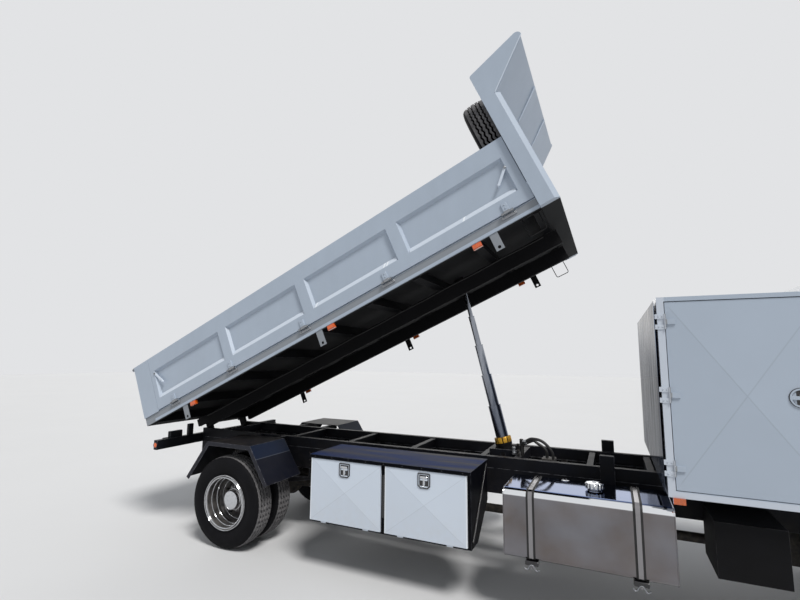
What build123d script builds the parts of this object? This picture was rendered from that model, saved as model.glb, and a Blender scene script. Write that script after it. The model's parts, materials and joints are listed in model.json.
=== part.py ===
from build123d import *
import os
from math import atan2, cos, degrees, hypot, radians, sin

# A two-axle drop-side tipper truck with its bed raised. Millimetres, +X ahead, +Y left, +Z up.
# The origin is on the ground, at the middle of the whole truck's length and width.

# Whole truck, measured from the rear axle and from the ground
wheelbase = 6200
front_overhang = 1300       # front axle to the bumper's face
front_reach = wheelbase + front_overhang
running_gap = 5             # between pieces that move past each other
seat_gap = 0.3              # between a moving piece and what it rests on or turns on

# Wheels, 11R22.5 on 22.5 x 8.25 rims
tyre_radius = 515
tyre_width = 279
tyre_bead = 284
rim_lip = 304
rim_offset = 167            # rim centre to the mounting face
disc_thick = 14
hub_radius = 115
drum_radius = 205
hand_ring, hand_radius = 222, 14
rear_face_y = 1218          # outer face of the outer twin tyre
front_tyre_y = 1020         # middle of a front tyre
spindle_radius = 45

# Chassis frame
rail_y = 419                # outer face of a frame rail
rail_bottom, rail_top = 800, 1050
rail_flange, rail_web = 80, 8
rail_rear = -1270
rail_overhang = 1140        # the rails' ends ahead of the front axle
rail_front = wheelbase + rail_overhang
subframe_width, subframe_top = 60, 1168
subframe_front = wheelbase - 650

# Tipping bed, in its own directions: along it from the hinge, across it, and up from the hinge
bed_angle = 24.3            # stored raised
hinge_back = 1200           # hinge behind the rear axle
hinge_height = 1110
hinge_pin_radius = 25
bed_half = 1213             # half the width over the sides
bed_rear = -132
canopy_clear = 94           # canopy to the headboard's posts with the bed down
rear_post_front = 148
bearer_y, bearer_width = 412, 52
bearer_bottom, bearer_top = 63, 230
rave_bottom, floor_top = 243, 352
floor_thick = 8
rave_wide, rave_inset = 40, 15
side_bottom, side_top = 360, 1064
side_thick = 50
side_hinge_out = 12         # side hinge pin outside the side's face
side_pin_radius, side_knuckle = 7, 11
gate_hinge_back, gate_hinge_up = 16, 1040    # behind the bed's rear end, and up
gate_pin_radius, gate_lug_radius = 11, 22
gate_thick = 40
post_half = bed_half + 35   # half the width over the headboard's posts
post_thick = 70
post_chamfer = 45
post_top = 1802
guard_knee = 1487
guard_tip_low, guard_tip_high = 1845, 1917
guard_plate = 8
head_rib_places = (620, 1000, 1360)
spare_y, spare_up = -640, 1300

# Telescopic hoist, from its trunnion up
trunnion_x, trunnion_z = 3010, 1150
eye_along, eye_up = 4208, 270
collar_top = 165
collar_height = 90
stage_step = 10             # closed, each stage stands this much out of the last
stage_length = 700
hoist_closed = 262          # trunnion to eye with the bed down
stage_fit = 0.5
stage_ring = 8
rod_radius = 25
barrel_radius = 84
trunnion_radius = 25
cradle_y = 140

# Side gear: toolboxes, fuel tank, battery box
box_rear, box_front = 1196, 2937
box_inner, box_outer = 584, 1207
box_bottom, box_top = 495, 1172
box_top_left = 1000         # the left-hand box is lower than the frame's top
box_wall = 12
box_door_thick = 22
box_hinge_radius, box_pin_radius = 8, 4
cross_break = 5             # how far a cross-broken sheet rises to its middle
battery_rear, battery_front = wheelbase - 1420, wheelbase - 980
tank_rear, tank_front = box_front + 285, battery_rear - 255
tank_inner, tank_outer = 591, 1183
tank_bottom, tank_top = 504, 1070
tank_round = 60
strap_width, strap_thick = 46, 6

# Canopy, the tall locker behind the cab
canopy_rear, canopy_front = wheelbase - 1716, subframe_front
canopy_half = 1228
canopy_top = 2684
canopy_wall = 40
canopy_door_rear, canopy_door_front = canopy_rear + 56, canopy_front - 42
canopy_door_bottom, canopy_door_top = subframe_top + 54, canopy_top - 39

# Cab, with its places along the truck measured from the front axle
cab_rear, cab_nose = -560, 1240
cab_half = 1150
cab_skin = 50
cab_floor = 1180
cab_low = 930
cab_roof = 2860
cab_pivot_x, cab_pivot_z = 1180, 880
hinge_out, hinge_knuckle, hinge_pin, strap_plate = 8, 7, 4, 6
bumper_low, bumper_top = 330, 840
bumper_half = canopy_half + 2

# Places worked out from the sizes above
lean = radians(bed_angle)
axle_height = tyre_radius
gate_hinge_along = bed_rear - gate_hinge_back
rear_reach = hinge_back - gate_hinge_along * cos(lean) + gate_hinge_up * sin(lean) + gate_lug_radius
rear_axle_x = (rear_reach - front_reach) / 2
hinge_point = (rear_axle_x - hinge_back, 0, hinge_height)
rear_mount_y = rear_face_y - tyre_width / 2 - rim_offset
front_mount_y = front_tyre_y + rim_offset
post_front = canopy_rear + hinge_back - canopy_clear
bed_front = post_front - 185
sheet_rear, sheet_front = bed_front + 65, bed_front + 105
guard_tip_x = bed_front + 598

# Planes: from the rear axle, from the front axle, and on the raised bed
road = Plane(origin=(rear_axle_x, 0, 0))
side = Plane(origin=(rear_axle_x, 0, 0), x_dir=(1, 0, 0), z_dir=(0, -1, 0))
across = Plane(origin=(rear_axle_x, 0, 0), x_dir=(0, 1, 0), z_dir=(1, 0, 0))
front_axle_x = rear_axle_x + wheelbase
front_road = Plane(origin=(front_axle_x, 0, 0))
front_side = Plane(origin=(front_axle_x, 0, 0), x_dir=(1, 0, 0), z_dir=(0, -1, 0))
front_across = Plane(origin=(front_axle_x, 0, 0), x_dir=(0, 1, 0), z_dir=(1, 0, 0))
along_bed = (cos(lean), 0, sin(lean))
bed = Plane(origin=hinge_point, x_dir=along_bed, z_dir=(-sin(lean), 0, cos(lean)))
bed_side = Plane(origin=hinge_point, x_dir=along_bed, z_dir=(0, -1, 0))
bed_across = Plane(origin=hinge_point, x_dir=(0, 1, 0), z_dir=along_bed)

pieces = {}


def block(x, y, z, mode=Mode.ADD):
    """A block between two corners, given as low and high x, y and z on the part's plane."""
    middle = [(low + high) / 2 for low, high in (x, y, z)]
    with Locations(tuple(middle)):
        Box(x[1] - x[0], y[1] - y[0], z[1] - z[0], mode=mode)


def outline(points, mode=Mode.ADD):
    """A closed outline with straight edges, as a face in the sketch around it."""
    Polygon(*points, align=None, mode=mode)


def on_left(right):
    """The left-hand twin of a right-hand piece."""
    with BuildPart() as left:
        mirror(right.part, about=Plane.XZ)
    return left


def both_sides(name, right):
    """Keeps a right-hand piece and its twin as two nodes."""
    pieces[name + "_right"] = right
    pieces[name + "_left"] = on_left(right)


# Frame rails: channels, open inwards
with BuildPart() as frame_rails:
    with BuildSketch(across.offset(rail_rear)):
        with Locations((-rail_y + rail_flange / 2, (rail_bottom + rail_top) / 2)):
            Rectangle(rail_flange, rail_top - rail_bottom)
        with Locations((-rail_y + rail_flange / 2 + rail_web, (rail_bottom + rail_top) / 2)):
            Rectangle(rail_flange, rail_top - rail_bottom - 2 * rail_web, mode=Mode.SUBTRACT)
    extrude(amount=rail_front - rail_rear)
    mirror(about=Plane.XZ)
pieces["frame_rails"] = frame_rails

# Frame cross members, between the rails' webs
member_places = (-1195, -600, 640, 1500, 2400, 3600, 4500)
member_width, member_height = 60, 180
lamp_bar_half, lamp_bar_deep, lamp_bar_span = bed_half - 63, 60, (980, 1100)
with BuildPart(road) as frame_cross_members:
    reach = rail_y - rail_web
    for x in member_places:
        block((x - member_width / 2, x + member_width / 2), (-reach, reach),
              (rail_top - rail_web - member_height, rail_top - rail_web))
        block((x - member_width / 2 + 8, x + member_width / 2), (-reach, reach),
              (rail_top - 2 * rail_web - member_height + 16, rail_top - 2 * rail_web), mode=Mode.SUBTRACT)
    block((rail_rear - lamp_bar_deep, rail_rear), (-lamp_bar_half, lamp_bar_half), lamp_bar_span)
    for y in (-lamp_bar_half + 20, lamp_bar_half - 380):
        block((rail_rear - lamp_bar_deep, rail_rear - lamp_bar_deep + 15), (y, y + 360),
              (lamp_bar_span[0] + 10, lamp_bar_span[1] - 10), mode=Mode.SUBTRACT)
pieces["frame_cross_members"] = frame_cross_members

# Subframe rails on the frame, with the bed's guide posts and hinge pins
guide_x, guide_long, guide_out, guide_top = canopy_rear - 426, 126, 61, 1285
hinge_pin_in = 300
with BuildPart(road) as subframe_rails:
    block((rail_rear, subframe_front), (-rail_y, subframe_width - rail_y), (rail_top, subframe_top))
    block((guide_x - guide_long / 2, guide_x + guide_long / 2), (-rail_y - guide_out, -rail_y),
          (rail_top - 60, guide_top))
    with BuildSketch(side.offset(hinge_pin_in)):
        with Locations((-hinge_back, hinge_height)):
            Circle(hinge_pin_radius)
    extrude(amount=rail_y - subframe_width - hinge_pin_in)
    mirror(about=Plane.XZ)
pieces["subframe_rails"] = subframe_rails

# Subframe cross members, with the hoist's cradle
subframe_places = (-900, 300, 1150, 2000, wheelbase - 2300, wheelbase - 1770, wheelbase - 900)
cradle_room, cradle_plate = 150, 25
with BuildPart(road) as subframe_cross_members:
    reach = rail_y - subframe_width
    for x in subframe_places:
        block((x - 30, x + 30), (-reach, reach), (rail_top + 10, subframe_top - 8))
    for x in (trunnion_x - cradle_room - 60, trunnion_x + cradle_room):
        block((x, x + 60), (-reach, reach), (rail_top + 10, subframe_top - 8))
    for y in (-cradle_y - cradle_plate, cradle_y):
        block((trunnion_x - cradle_room, trunnion_x + cradle_room), (y, y + cradle_plate),
              (rail_top + 10, trunnion_z + 50))
    with BuildSketch(side.offset(-cradle_y - cradle_plate)):
        with Locations((trunnion_x, trunnion_z)):
            Circle(trunnion_radius + seat_gap)
    extrude(amount=2 * (cradle_y + cradle_plate), mode=Mode.SUBTRACT)
pieces["subframe_cross_members"] = subframe_cross_members


# Tyres and rims are turned about their axles
def turned(plane, points, axis):
    """A ring turned from an outline of distance outwards and radius."""
    with BuildSketch(plane) as profile:
        outline(points)
    revolve(profile.sketch, axis=axis)


def wheel_plane(x, y):
    """A plane through an axle with x outwards to the right from y, and y up from the axle."""
    return Plane(origin=(rear_axle_x + x, -y, axle_height), x_dir=(0, -1, 0), z_dir=(-1, 0, 0))


def axle_axis(x):
    return Axis((rear_axle_x + x, 0, axle_height), (0, -1, 0))


def tyre_outline(middle):
    """Half the tread and a wall, then the same mirrored: distance from the middle, radius."""
    half = [(0, 0), (58, 3), (104, 14), (126, 40), (tyre_width / 2, 105), (130, 160),
            (110, tyre_radius - rim_lip - 1), (104, tyre_radius - tyre_bead - seat_gap)]
    right = [(middle + out, tyre_radius - drop) for out, drop in half]
    left = [(middle - out, tyre_radius - drop) for out, drop in half[:0:-1]]
    return right + left


def rim_outline(way):
    """A rim and its disc on one side of the mounting face, which is at 0."""
    points = [(48, rim_lip), (56, rim_lip), (62, tyre_bead), (272, tyre_bead), (278, rim_lip),
              (286, rim_lip), (283, 274), (105, 268), (60, 238), (disc_thick, 205),
              (disc_thick, hub_radius), (0, hub_radius), (0, 215), (48, 246), (82, 272), (54, 274)]
    return [(way * out, radius) for out, radius in points]


def hand_holes(x, y):
    """Ten holes round the disc of a rim, drilled along its axle."""
    with BuildSketch(side.offset(y - 120)) as holes:
        with Locations((x, axle_height)):
            with PolarLocations(hand_ring, 10, start_angle=18):
                Circle(hand_radius)
    extrude(holes.sketch, amount=240, mode=Mode.SUBTRACT)


def hub_outline(inner, outer):
    """The hub from the brake to its domed cap, with a bore for the spindle."""
    return [(inner, spindle_radius + seat_gap), (inner, drum_radius), (inner + 170, drum_radius),
            (inner + 190, hub_radius + 60), (0, hub_radius + 60), (0, hub_radius), (outer - 60, hub_radius),
            (outer - 45, hub_radius - 15), (outer - 20, hub_radius - 25), (outer, 45), (outer, 0),
            (outer - 30, 0), (outer - 30, spindle_radius + seat_gap)]


rear_plane = wheel_plane(0, rear_mount_y)
with BuildPart() as rear_tyres:
    turned(rear_plane, tyre_outline(rim_offset), axle_axis(0))
    turned(rear_plane, tyre_outline(-rim_offset), axle_axis(0))
both_sides("rear_tyres", rear_tyres)
with BuildPart() as rear_rims:
    turned(rear_plane, rim_outline(1), axle_axis(0))
    turned(rear_plane, rim_outline(-1), axle_axis(0))
    hand_holes(0, rear_mount_y)
    turned(rear_plane, hub_outline(-280, 200), axle_axis(0))
both_sides("rear_rims", rear_rims)

front_plane = wheel_plane(wheelbase, front_mount_y)
with BuildPart() as front_tyre:
    turned(front_plane, tyre_outline(-rim_offset), axle_axis(wheelbase))
both_sides("front_tyre", front_tyre)
with BuildPart() as front_rim:
    turned(front_plane, rim_outline(-1), axle_axis(wheelbase))
    hand_holes(wheelbase, front_mount_y)
    turned(front_plane, hub_outline(-240, 45), axle_axis(wheelbase))
both_sides("front_rim", front_rim)

# Rear axle: a banjo housing with its pinion nose, and a spindle into each hub
housing_radius, banjo_radius, banjo_half, nose_reach = 75, 200, 150, 430
rear_spindle_end = rear_mount_y + 200 - 40
with BuildPart() as rear_axle:
    turned(wheel_plane(0, 0), [(0, 0), (0, banjo_radius), (80, banjo_radius - 20), (banjo_half, housing_radius),
                               (rear_mount_y - 290, housing_radius), (rear_mount_y - 290, spindle_radius),
                               (rear_spindle_end, spindle_radius), (rear_spindle_end, 0)], axle_axis(0))
    mirror(about=Plane.XZ)
    with BuildSketch(across):
        with Locations((0, axle_height)):
            Circle(95)
    with BuildSketch(across.offset(nose_reach)):
        with Locations((0, axle_height)):
            Circle(60)
    loft()
pieces["rear_axle"] = rear_axle

# Front axle: a dropped beam with a bored boss at each kingpin
kingpin_y, kingpin_radius, boss_radius, boss_half = 800, 22, 48, 60
beam_drop = 70
with BuildPart() as front_axle:
    with BuildSketch(across.offset(wheelbase - 45)):
        outline([(0, axle_height - 60 - beam_drop), (-480, axle_height - 60 - beam_drop),
                 (-640, axle_height - 50), (-kingpin_y, axle_height - 50), (-kingpin_y, axle_height + 50),
                 (-620, axle_height + 50), (-440, axle_height + 40 - beam_drop), (0, axle_height + 40 - beam_drop)])
    extrude(amount=90)
    with BuildSketch(road.offset(axle_height - boss_half)):
        with Locations((wheelbase, -kingpin_y)):
            Circle(boss_radius)
    extrude(amount=2 * boss_half)
    with BuildSketch(road.offset(axle_height - boss_half)):
        with Locations((wheelbase, -kingpin_y)):
            Circle(kingpin_radius + seat_gap)
    extrude(amount=2 * boss_half, mode=Mode.SUBTRACT)
    mirror(about=Plane.XZ)
pieces["front_axle"] = front_axle

# Steering knuckle: a fork over the boss, its kingpin and the wheel's spindle
fork_out, fork_plate = 80, 30
with BuildPart(road) as steering_knuckle:
    for z in (axle_height - boss_half - seat_gap - fork_plate, axle_height + boss_half + seat_gap):
        block((wheelbase - 50, wheelbase + 50), (-kingpin_y - fork_out, -kingpin_y + 45), (z, z + fork_plate))
    block((wheelbase - 50, wheelbase + 50), (-kingpin_y - fork_out - 30, -kingpin_y - fork_out),
          (axle_height - boss_half - fork_plate, axle_height + boss_half + fork_plate))
    with BuildSketch(road.offset(axle_height - boss_half - fork_plate)):
        with Locations((wheelbase, -kingpin_y)):
            Circle(kingpin_radius)
    extrude(amount=2 * (boss_half + fork_plate))
    with BuildSketch(side.offset(kingpin_y + fork_out)):
        with Locations((wheelbase, axle_height)):
            Circle(spindle_radius)
    extrude(amount=front_mount_y - 20 - kingpin_y - fork_out)
both_sides("steering_knuckle", steering_knuckle)

# Leaf springs with their hangers, one solid for each corner
spring_y, spring_half, leaf_pack, hanger_long = 379, 40, 70, 90
spring_table = (            # axle's x, seat height, half length, rise of the ends
    (0, axle_height + housing_radius, 700, 90),
    (wheelbase, axle_height + 40 - beam_drop, 720, 150),
)
with BuildPart() as leaf_springs:
    for x, seat, half, rise in spring_table:
        with BuildSketch(side.offset(spring_y - spring_half)):
            with BuildLine():
                low = ThreePointArc((x - half, seat + rise), (x, seat), (x + half, seat + rise))
                high = ThreePointArc((x + half, seat + rise + 25), (x, seat + leaf_pack), (x - half, seat + rise + 25))
                Line(low @ 1, high @ 0)
                Line(high @ 1, low @ 0)
            make_face()
            for end in (x - half + hanger_long / 2, x + half - hanger_long / 2):
                with Locations((end, (seat + rise + rail_bottom) / 2)):
                    Rectangle(hanger_long, rail_bottom - seat - rise)
        extrude(amount=2 * spring_half)
    mirror(about=Plane.XZ)
pieces["leaf_springs"] = leaf_springs

# Drivetrain: the engine and gearbox as plain blocks, with the shaft to the rear axle
engine_rear, engine_front, shaft_radius = wheelbase - 500, wheelbase + 750, 45
gearbox_rear, shaft_z = wheelbase - 1300, 520
with BuildPart(road) as drivetrain:
    block((engine_rear, engine_front), (-320, 320), (620, cab_floor - 20))
    block((gearbox_rear, engine_rear), (-180, 180), (shaft_z - 60, 850))
    for x in (engine_rear + 100, engine_front - 200):
        block((x, x + 90), (rail_web - rail_y, rail_y - rail_web), (860, 940))
    with BuildSketch(across.offset(nose_reach)):
        with Locations((0, axle_height)):
            Circle(shaft_radius)
    with BuildSketch(across.offset(gearbox_rear)):
        with Locations((0, shaft_z)):
            Circle(shaft_radius)
    loft()
pieces["drivetrain"] = drivetrain

# Rear mudguards: a folded plate with a lip along its outer edge, on two arms from the frame
guard_outer, guard_inner, mud_top, mud_plate, mud_lip = 1217, 616, 1179, 8, 45
mud_fold = ((-620, 740), (-306, mud_top), (359, mud_top), (627, 778))
with BuildPart(road) as rear_mudguards:
    for depth, start in ((mud_plate, guard_inner), (mud_lip, guard_outer - mud_plate)):
        with BuildSketch(side.offset(start)):
            with BuildLine():
                top = Polyline(*mud_fold)
                offset(top, amount=depth, side=Side.RIGHT)
            make_face()
        extrude(amount=guard_outer - start)
    for x in (-200, 200):
        block((x, x + 50), (-guard_inner - 150, -rail_y), (mud_top - mud_plate - 60, mud_top - mud_plate))
    mirror(about=Plane.XZ)
pieces["rear_mudguards"] = rear_mudguards

# Toolboxes: open at the front, where two cross-broken doors hang on the bottom edge
door_split = (box_rear + box_front) / 2 - 12.5
door_table = ((box_rear + 10, door_split - 24), (door_split + 24, box_front - 32))    # rear and front edges
box_table = (("right", -1, box_top), ("left", 1, box_top_left))    # side, way out, top
door_up, door_down, door_lap = 20, 37, 22            # above the box's bottom, below its top, over the frame
box_frame_out = box_outer - box_door_thick - cross_break
box_slope_y, box_slope_z = 960, 780
box_hinge_y, box_hinge_down = box_frame_out + 11, 8
box_hinge_places = (0.2, 0.8)


def cross_broken(plane, x, y):
    """A very flat pyramid on a plane, between low and high x and y: a cross-broken sheet."""
    with BuildSketch(plane) as foot:
        with Locations(((x[0] + x[1]) / 2, (y[0] + y[1]) / 2)):
            Rectangle(x[1] - x[0], y[1] - y[0])
    with BuildSketch(plane.offset(cross_break)) as top:
        with Locations(((x[0] + x[1]) / 2, (y[0] + y[1]) / 2)):
            Rectangle(4, 4)
    loft(sections=[foot.sketch, top.sketch])


def toolbox(way, top):
    """One toolbox on its side of the frame, whose way out is -1 to the right or 1 to the left."""
    slope = min(box_slope_z, top - 100)
    with BuildPart(road) as shell:
        with BuildSketch(across.offset(box_rear)) as section:
            outline([(way * y, z) for y, z in ((box_frame_out, box_bottom), (box_frame_out, top), (box_inner, top),
                                               (box_inner, slope), (box_slope_y, box_bottom))])
        extrude(section.sketch, amount=box_front - box_rear)
        with BuildSketch(across.offset(box_rear + box_wall)) as room:
            outline([(way * y, z) for y, z in (
                (box_frame_out - box_wall, box_bottom + box_wall), (box_frame_out - box_wall, top - box_wall),
                (box_inner + box_wall, top - box_wall), (box_inner + box_wall, slope + 5),
                (box_slope_y + 5, box_bottom + box_wall))])
        extrude(room.sketch, amount=box_front - box_rear - 2 * box_wall, mode=Mode.SUBTRACT)
        low, high = box_bottom + door_up, top - door_down
        for rear, front in door_table:
            faces = sorted((way * (box_frame_out - box_wall), way * box_frame_out))
            block((rear + door_lap, front - door_lap), faces, (low + door_lap, high - door_lap), mode=Mode.SUBTRACT)
        block((box_rear - 6, box_front + 6), sorted((way * box_inner, way * (box_outer + 4))), (top - 6, top))
        block((box_rear - 6, box_front + 6), sorted((way * (box_outer - 2), way * (box_outer + 4))), (top - 30, top))
        for x in (box_rear + 200, box_front - 260):
            block((x, x + 60), sorted((way * rail_y, way * box_inner)), (rail_bottom + 60, rail_bottom + 150))
        for rear, front in door_table:
            for share in box_hinge_places:
                middle = rear + (front - rear) * share
                for end in (middle - 62, middle + 32):
                    box_hinge(way, low, end, 30)
                with BuildSketch(across.offset(middle - 62)) as pin:
                    with Locations((way * box_hinge_y, low - box_hinge_down)):
                        Circle(box_pin_radius)
                extrude(pin.sketch, amount=124)
    return shell


def box_hinge(way, low, x, long):
    """A knuckle under a toolbox door, from x on, joined to the box's face."""
    with BuildSketch(across.offset(x)) as knuckle:
        with Locations((way * box_hinge_y, low - box_hinge_down)):
            Circle(box_hinge_radius)
        with Locations((way * (box_frame_out + box_hinge_y) / 2, low - box_hinge_down)):
            Rectangle(box_hinge_y - box_frame_out, 2 * box_hinge_radius)
    extrude(knuckle.sketch, amount=long)


def toolbox_door(way, top, rear, front):
    """A door with its cross-broken sheet, latch plate, handle and hinge knuckles."""
    low, high = box_bottom + door_up, top - door_down
    skin = box_outer - cross_break
    face = Plane(origin=(rear_axle_x, way * skin, 0), x_dir=(-way, 0, 0), z_dir=(0, way, 0))
    with BuildPart(road) as door:
        block((rear, front), sorted((way * (box_frame_out + seat_gap), way * skin)), (low, high))
        ends = sorted((-way * (rear + 14), -way * (front - 14)))
        cross_broken(face, ends, (low + 14, high - 14))
        latch_x = (rear + front) / 2
        block((latch_x - 62, latch_x + 62), sorted((way * (skin - 1), way * (box_outer + 3))), (high - 150, high - 20))
        block((latch_x - 48, latch_x + 48), sorted((way * (skin + 2), way * (box_outer + 3))), (high - 136, high - 34),
              mode=Mode.SUBTRACT)
        block((latch_x - 36, latch_x + 36), sorted((way * skin, way * (box_outer + 8))), (high - 84, high - 66))
        block((latch_x - 9, latch_x + 9), sorted((way * skin, way * (box_outer + 8))), (high - 122, high - 84))
        for share in box_hinge_places:
            middle = rear + (front - rear) * share
            with BuildSketch(across.offset(middle - 30)) as knuckle:
                with Locations((way * box_hinge_y, low - box_hinge_down)):
                    Circle(box_hinge_radius)
                with Locations((way * box_hinge_y, low - box_hinge_down / 2)):
                    Rectangle(2 * box_hinge_radius - 2, box_hinge_down + 2)
            extrude(knuckle.sketch, amount=60)
            with BuildSketch(across.offset(middle - 30)) as bore:
                with Locations((way * box_hinge_y, low - box_hinge_down)):
                    Circle(box_pin_radius + seat_gap)
            extrude(bore.sketch, amount=60, mode=Mode.SUBTRACT)
    return door


with BuildPart() as toolboxes:
    for label, way, top in box_table:
        add(toolbox(way, top).part)
pieces["toolboxes"] = toolboxes
for label, way, top in box_table:
    for place, (rear, front) in zip(("rear", "front"), door_table):
        pieces[f"toolbox_door_{place}_{label}"] = toolbox_door(way, top, rear, front)

# Fuel tank on the right, with its cap, and the straps that hold it to the frame
cap_x, cap_y, cap_radius, cap_high = tank_front - 568, 900, 72, 28
neck_radius, neck_high = 46, 34
with BuildPart(road) as fuel_tank:
    with BuildSketch(across.offset(tank_rear)):
        with Locations((-(tank_inner + tank_outer) / 2, (tank_bottom + tank_top) / 2)):
            RectangleRounded(tank_outer - tank_inner, tank_top - tank_bottom, tank_round)
    extrude(amount=tank_front - tank_rear)
    with BuildSketch(road.offset(tank_top)):
        with Locations((cap_x, -cap_y)):
            Circle(neck_radius)
    extrude(amount=neck_high)
    with BuildSketch(road.offset(tank_top + neck_high)):
        with Locations((cap_x, -cap_y)):
            Circle(cap_radius)
            with PolarLocations(cap_radius, 16):
                Circle(6, mode=Mode.SUBTRACT)
    extrude(amount=cap_high, taper=8)
pieces["fuel_tank"] = fuel_tank

strap_places = (tank_rear + 232, tank_front - 253)
with BuildPart(road) as tank_straps:
    for x in strap_places:
        with BuildSketch(across.offset(x - strap_width / 2)):
            with Locations((-(tank_inner + tank_outer) / 2, (tank_bottom + tank_top) / 2)):
                RectangleRounded(tank_outer - tank_inner + 2 * strap_thick,
                                 tank_top - tank_bottom + 2 * strap_thick, tank_round + strap_thick)
                RectangleRounded(tank_outer - tank_inner, tank_top - tank_bottom, tank_round, mode=Mode.SUBTRACT)
        extrude(amount=strap_width)
        block((x - strap_width / 2, x + strap_width / 2), (-tank_inner + strap_thick, -rail_y),
              (rail_bottom + 30, rail_bottom + 180))
        block((x - strap_width / 2, x + strap_width / 2), (-tank_inner + strap_thick, -tank_inner + strap_thick + 40),
              (tank_bottom - strap_thick, rail_bottom + 30))
        for y in (-tank_outer + 20, -tank_outer + 90):
            block((x - 5, x + 5), (y, y + 10), (tank_bottom - 60, tank_bottom - strap_thick))
        block((x - 5, x + 5), (-tank_outer + 20, -tank_outer + 100), (tank_bottom - 60, tank_bottom - 50))
pieces["tank_straps"] = tank_straps

# Air tanks on the left, strapped to the frame
air_radius, air_long, air_y, air_z = 130, 620, 590, 880
with BuildPart(road) as air_tanks:
    for x in (3280, 3960):
        with BuildSketch(across.offset(x)):
            with Locations((air_y, air_z)):
                Circle(air_radius)
        extrude(amount=air_long)
        block((x + air_long / 2 - 30, x + air_long / 2 + 30), (rail_y, air_y), (air_z - 40, air_z + 40))
pieces["air_tanks"] = air_tanks

# Battery box under the canopy
with BuildPart(road) as battery_box:
    block((battery_rear, battery_front), (-1100, -600), (600, 1000))
    block((battery_rear + 70, battery_front - 70), (-600, -rail_y), (860, 960))
pieces["battery_box"] = battery_box

# Canopy: a box with a doorway on each side
with BuildPart(road) as canopy_shell:
    block((canopy_rear, canopy_front), (-canopy_half, canopy_half), (subframe_top, canopy_top))
    block((canopy_rear + canopy_wall, canopy_front - canopy_wall), (-canopy_half + canopy_wall, canopy_half - canopy_wall),
          (subframe_top + canopy_wall, canopy_top - canopy_wall), mode=Mode.SUBTRACT)
    block((canopy_door_rear - running_gap, canopy_door_front + running_gap), (-canopy_half, canopy_half),
          (canopy_door_bottom - running_gap, canopy_door_top + running_gap), mode=Mode.SUBTRACT)


def hinge_half(plane, x, y, z, way, middle):
    """One half of an upright hinge on an outside face: the middle knuckle, or the two ends and the pin."""
    spans = ((z - 20, z + 20),) if middle else ((z - 60, z - 22), (z + 22, z + 60))
    for low, high in spans:
        with BuildSketch(plane.offset(low)) as knuckle:
            with Locations((x, y - hinge_out)):
                Circle(hinge_knuckle)
            with Locations((x + way * 35, y - strap_plate / 2 + cross_break / 2)):
                Rectangle(70, strap_plate + cross_break)
        extrude(knuckle.sketch, amount=high - low)
    with BuildSketch(plane.offset(z - 60)) as pin:
        with Locations((x, y - hinge_out)):
            Circle(hinge_pin + seat_gap if middle else hinge_pin)
    extrude(pin.sketch, amount=120, mode=Mode.SUBTRACT if middle else Mode.ADD)


canopy_hinges = (canopy_door_bottom + 158, canopy_door_bottom + 702, canopy_door_top - 155)
canopy_latch_x, canopy_latch_z, canopy_latch_radius = canopy_door_front - 178, canopy_door_bottom + 713, 66
canopy_hinge_x = canopy_door_rear - running_gap / 2
with BuildPart() as canopy_hinge_halves:
    for z in canopy_hinges:
        hinge_half(road, canopy_hinge_x, -canopy_half, z, -1, False)
    mirror(about=Plane.XZ)
with BuildPart() as canopy_whole:
    add(canopy_shell.part)
    add(canopy_hinge_halves.part)
pieces["canopy_shell"] = canopy_whole

with BuildPart(road) as canopy_door:
    skin = canopy_half - cross_break
    block((canopy_door_rear, canopy_door_front), (-skin, -canopy_half + canopy_wall), (canopy_door_bottom, canopy_door_top))
    cross_broken(side.offset(skin), (canopy_door_rear + 20, canopy_door_front - 20),
                 (canopy_door_bottom + 20, canopy_door_top - 20))
    with BuildSketch(side.offset(skin - 1)):
        with Locations((canopy_latch_x, canopy_latch_z)):
            Circle(canopy_latch_radius)
            Circle(canopy_latch_radius - 12, mode=Mode.SUBTRACT)
            Rectangle(2 * canopy_latch_radius - 10, 26)
    extrude(amount=cross_break + 6)
    for z in canopy_hinges:
        hinge_half(road, canopy_hinge_x, -canopy_half, z, 1, True)
both_sides("canopy_door", canopy_door)

# Cab shell, with its floor, doorways and windscreen opening
cab_hinges = (1150, 1750)
cab_hinge_x = 1030 - running_gap / 2
cab_pin_radius = 15
bracket_in = rail_y + 29
windscreen_foot = 1880
screen_low, screen_high, screen_half = 1960, cab_roof - 180, 1030
rear_pane, rear_pane_half = (cab_roof - 610, cab_roof - 260), 450
cab_outline = [(cab_rear, cab_floor), (cab_rear, cab_roof - 60), (cab_rear + 60, cab_roof), (700, cab_roof),
               (990, cab_roof - 100), (cab_nose, windscreen_foot), (cab_nose, cab_low), (560, cab_low),
               (440, cab_floor)]
cabin_outline = [(cab_rear + cab_skin, cab_floor + cab_skin), (cab_rear + cab_skin, cab_roof - cab_skin - 30),
                 (cab_rear + cab_skin + 30, cab_roof - cab_skin), (685, cab_roof - cab_skin), (950, cab_roof - 140),
                 (cab_nose - cab_skin, windscreen_foot - 10), (cab_nose - cab_skin, cab_floor + cab_skin)]
door_top = cab_roof - 220
doorway = [(-80, 1230), (-80, door_top), (750, door_top), (1030, 1900), (1030, 980), (590, 980), (470, 1230)]
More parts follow.
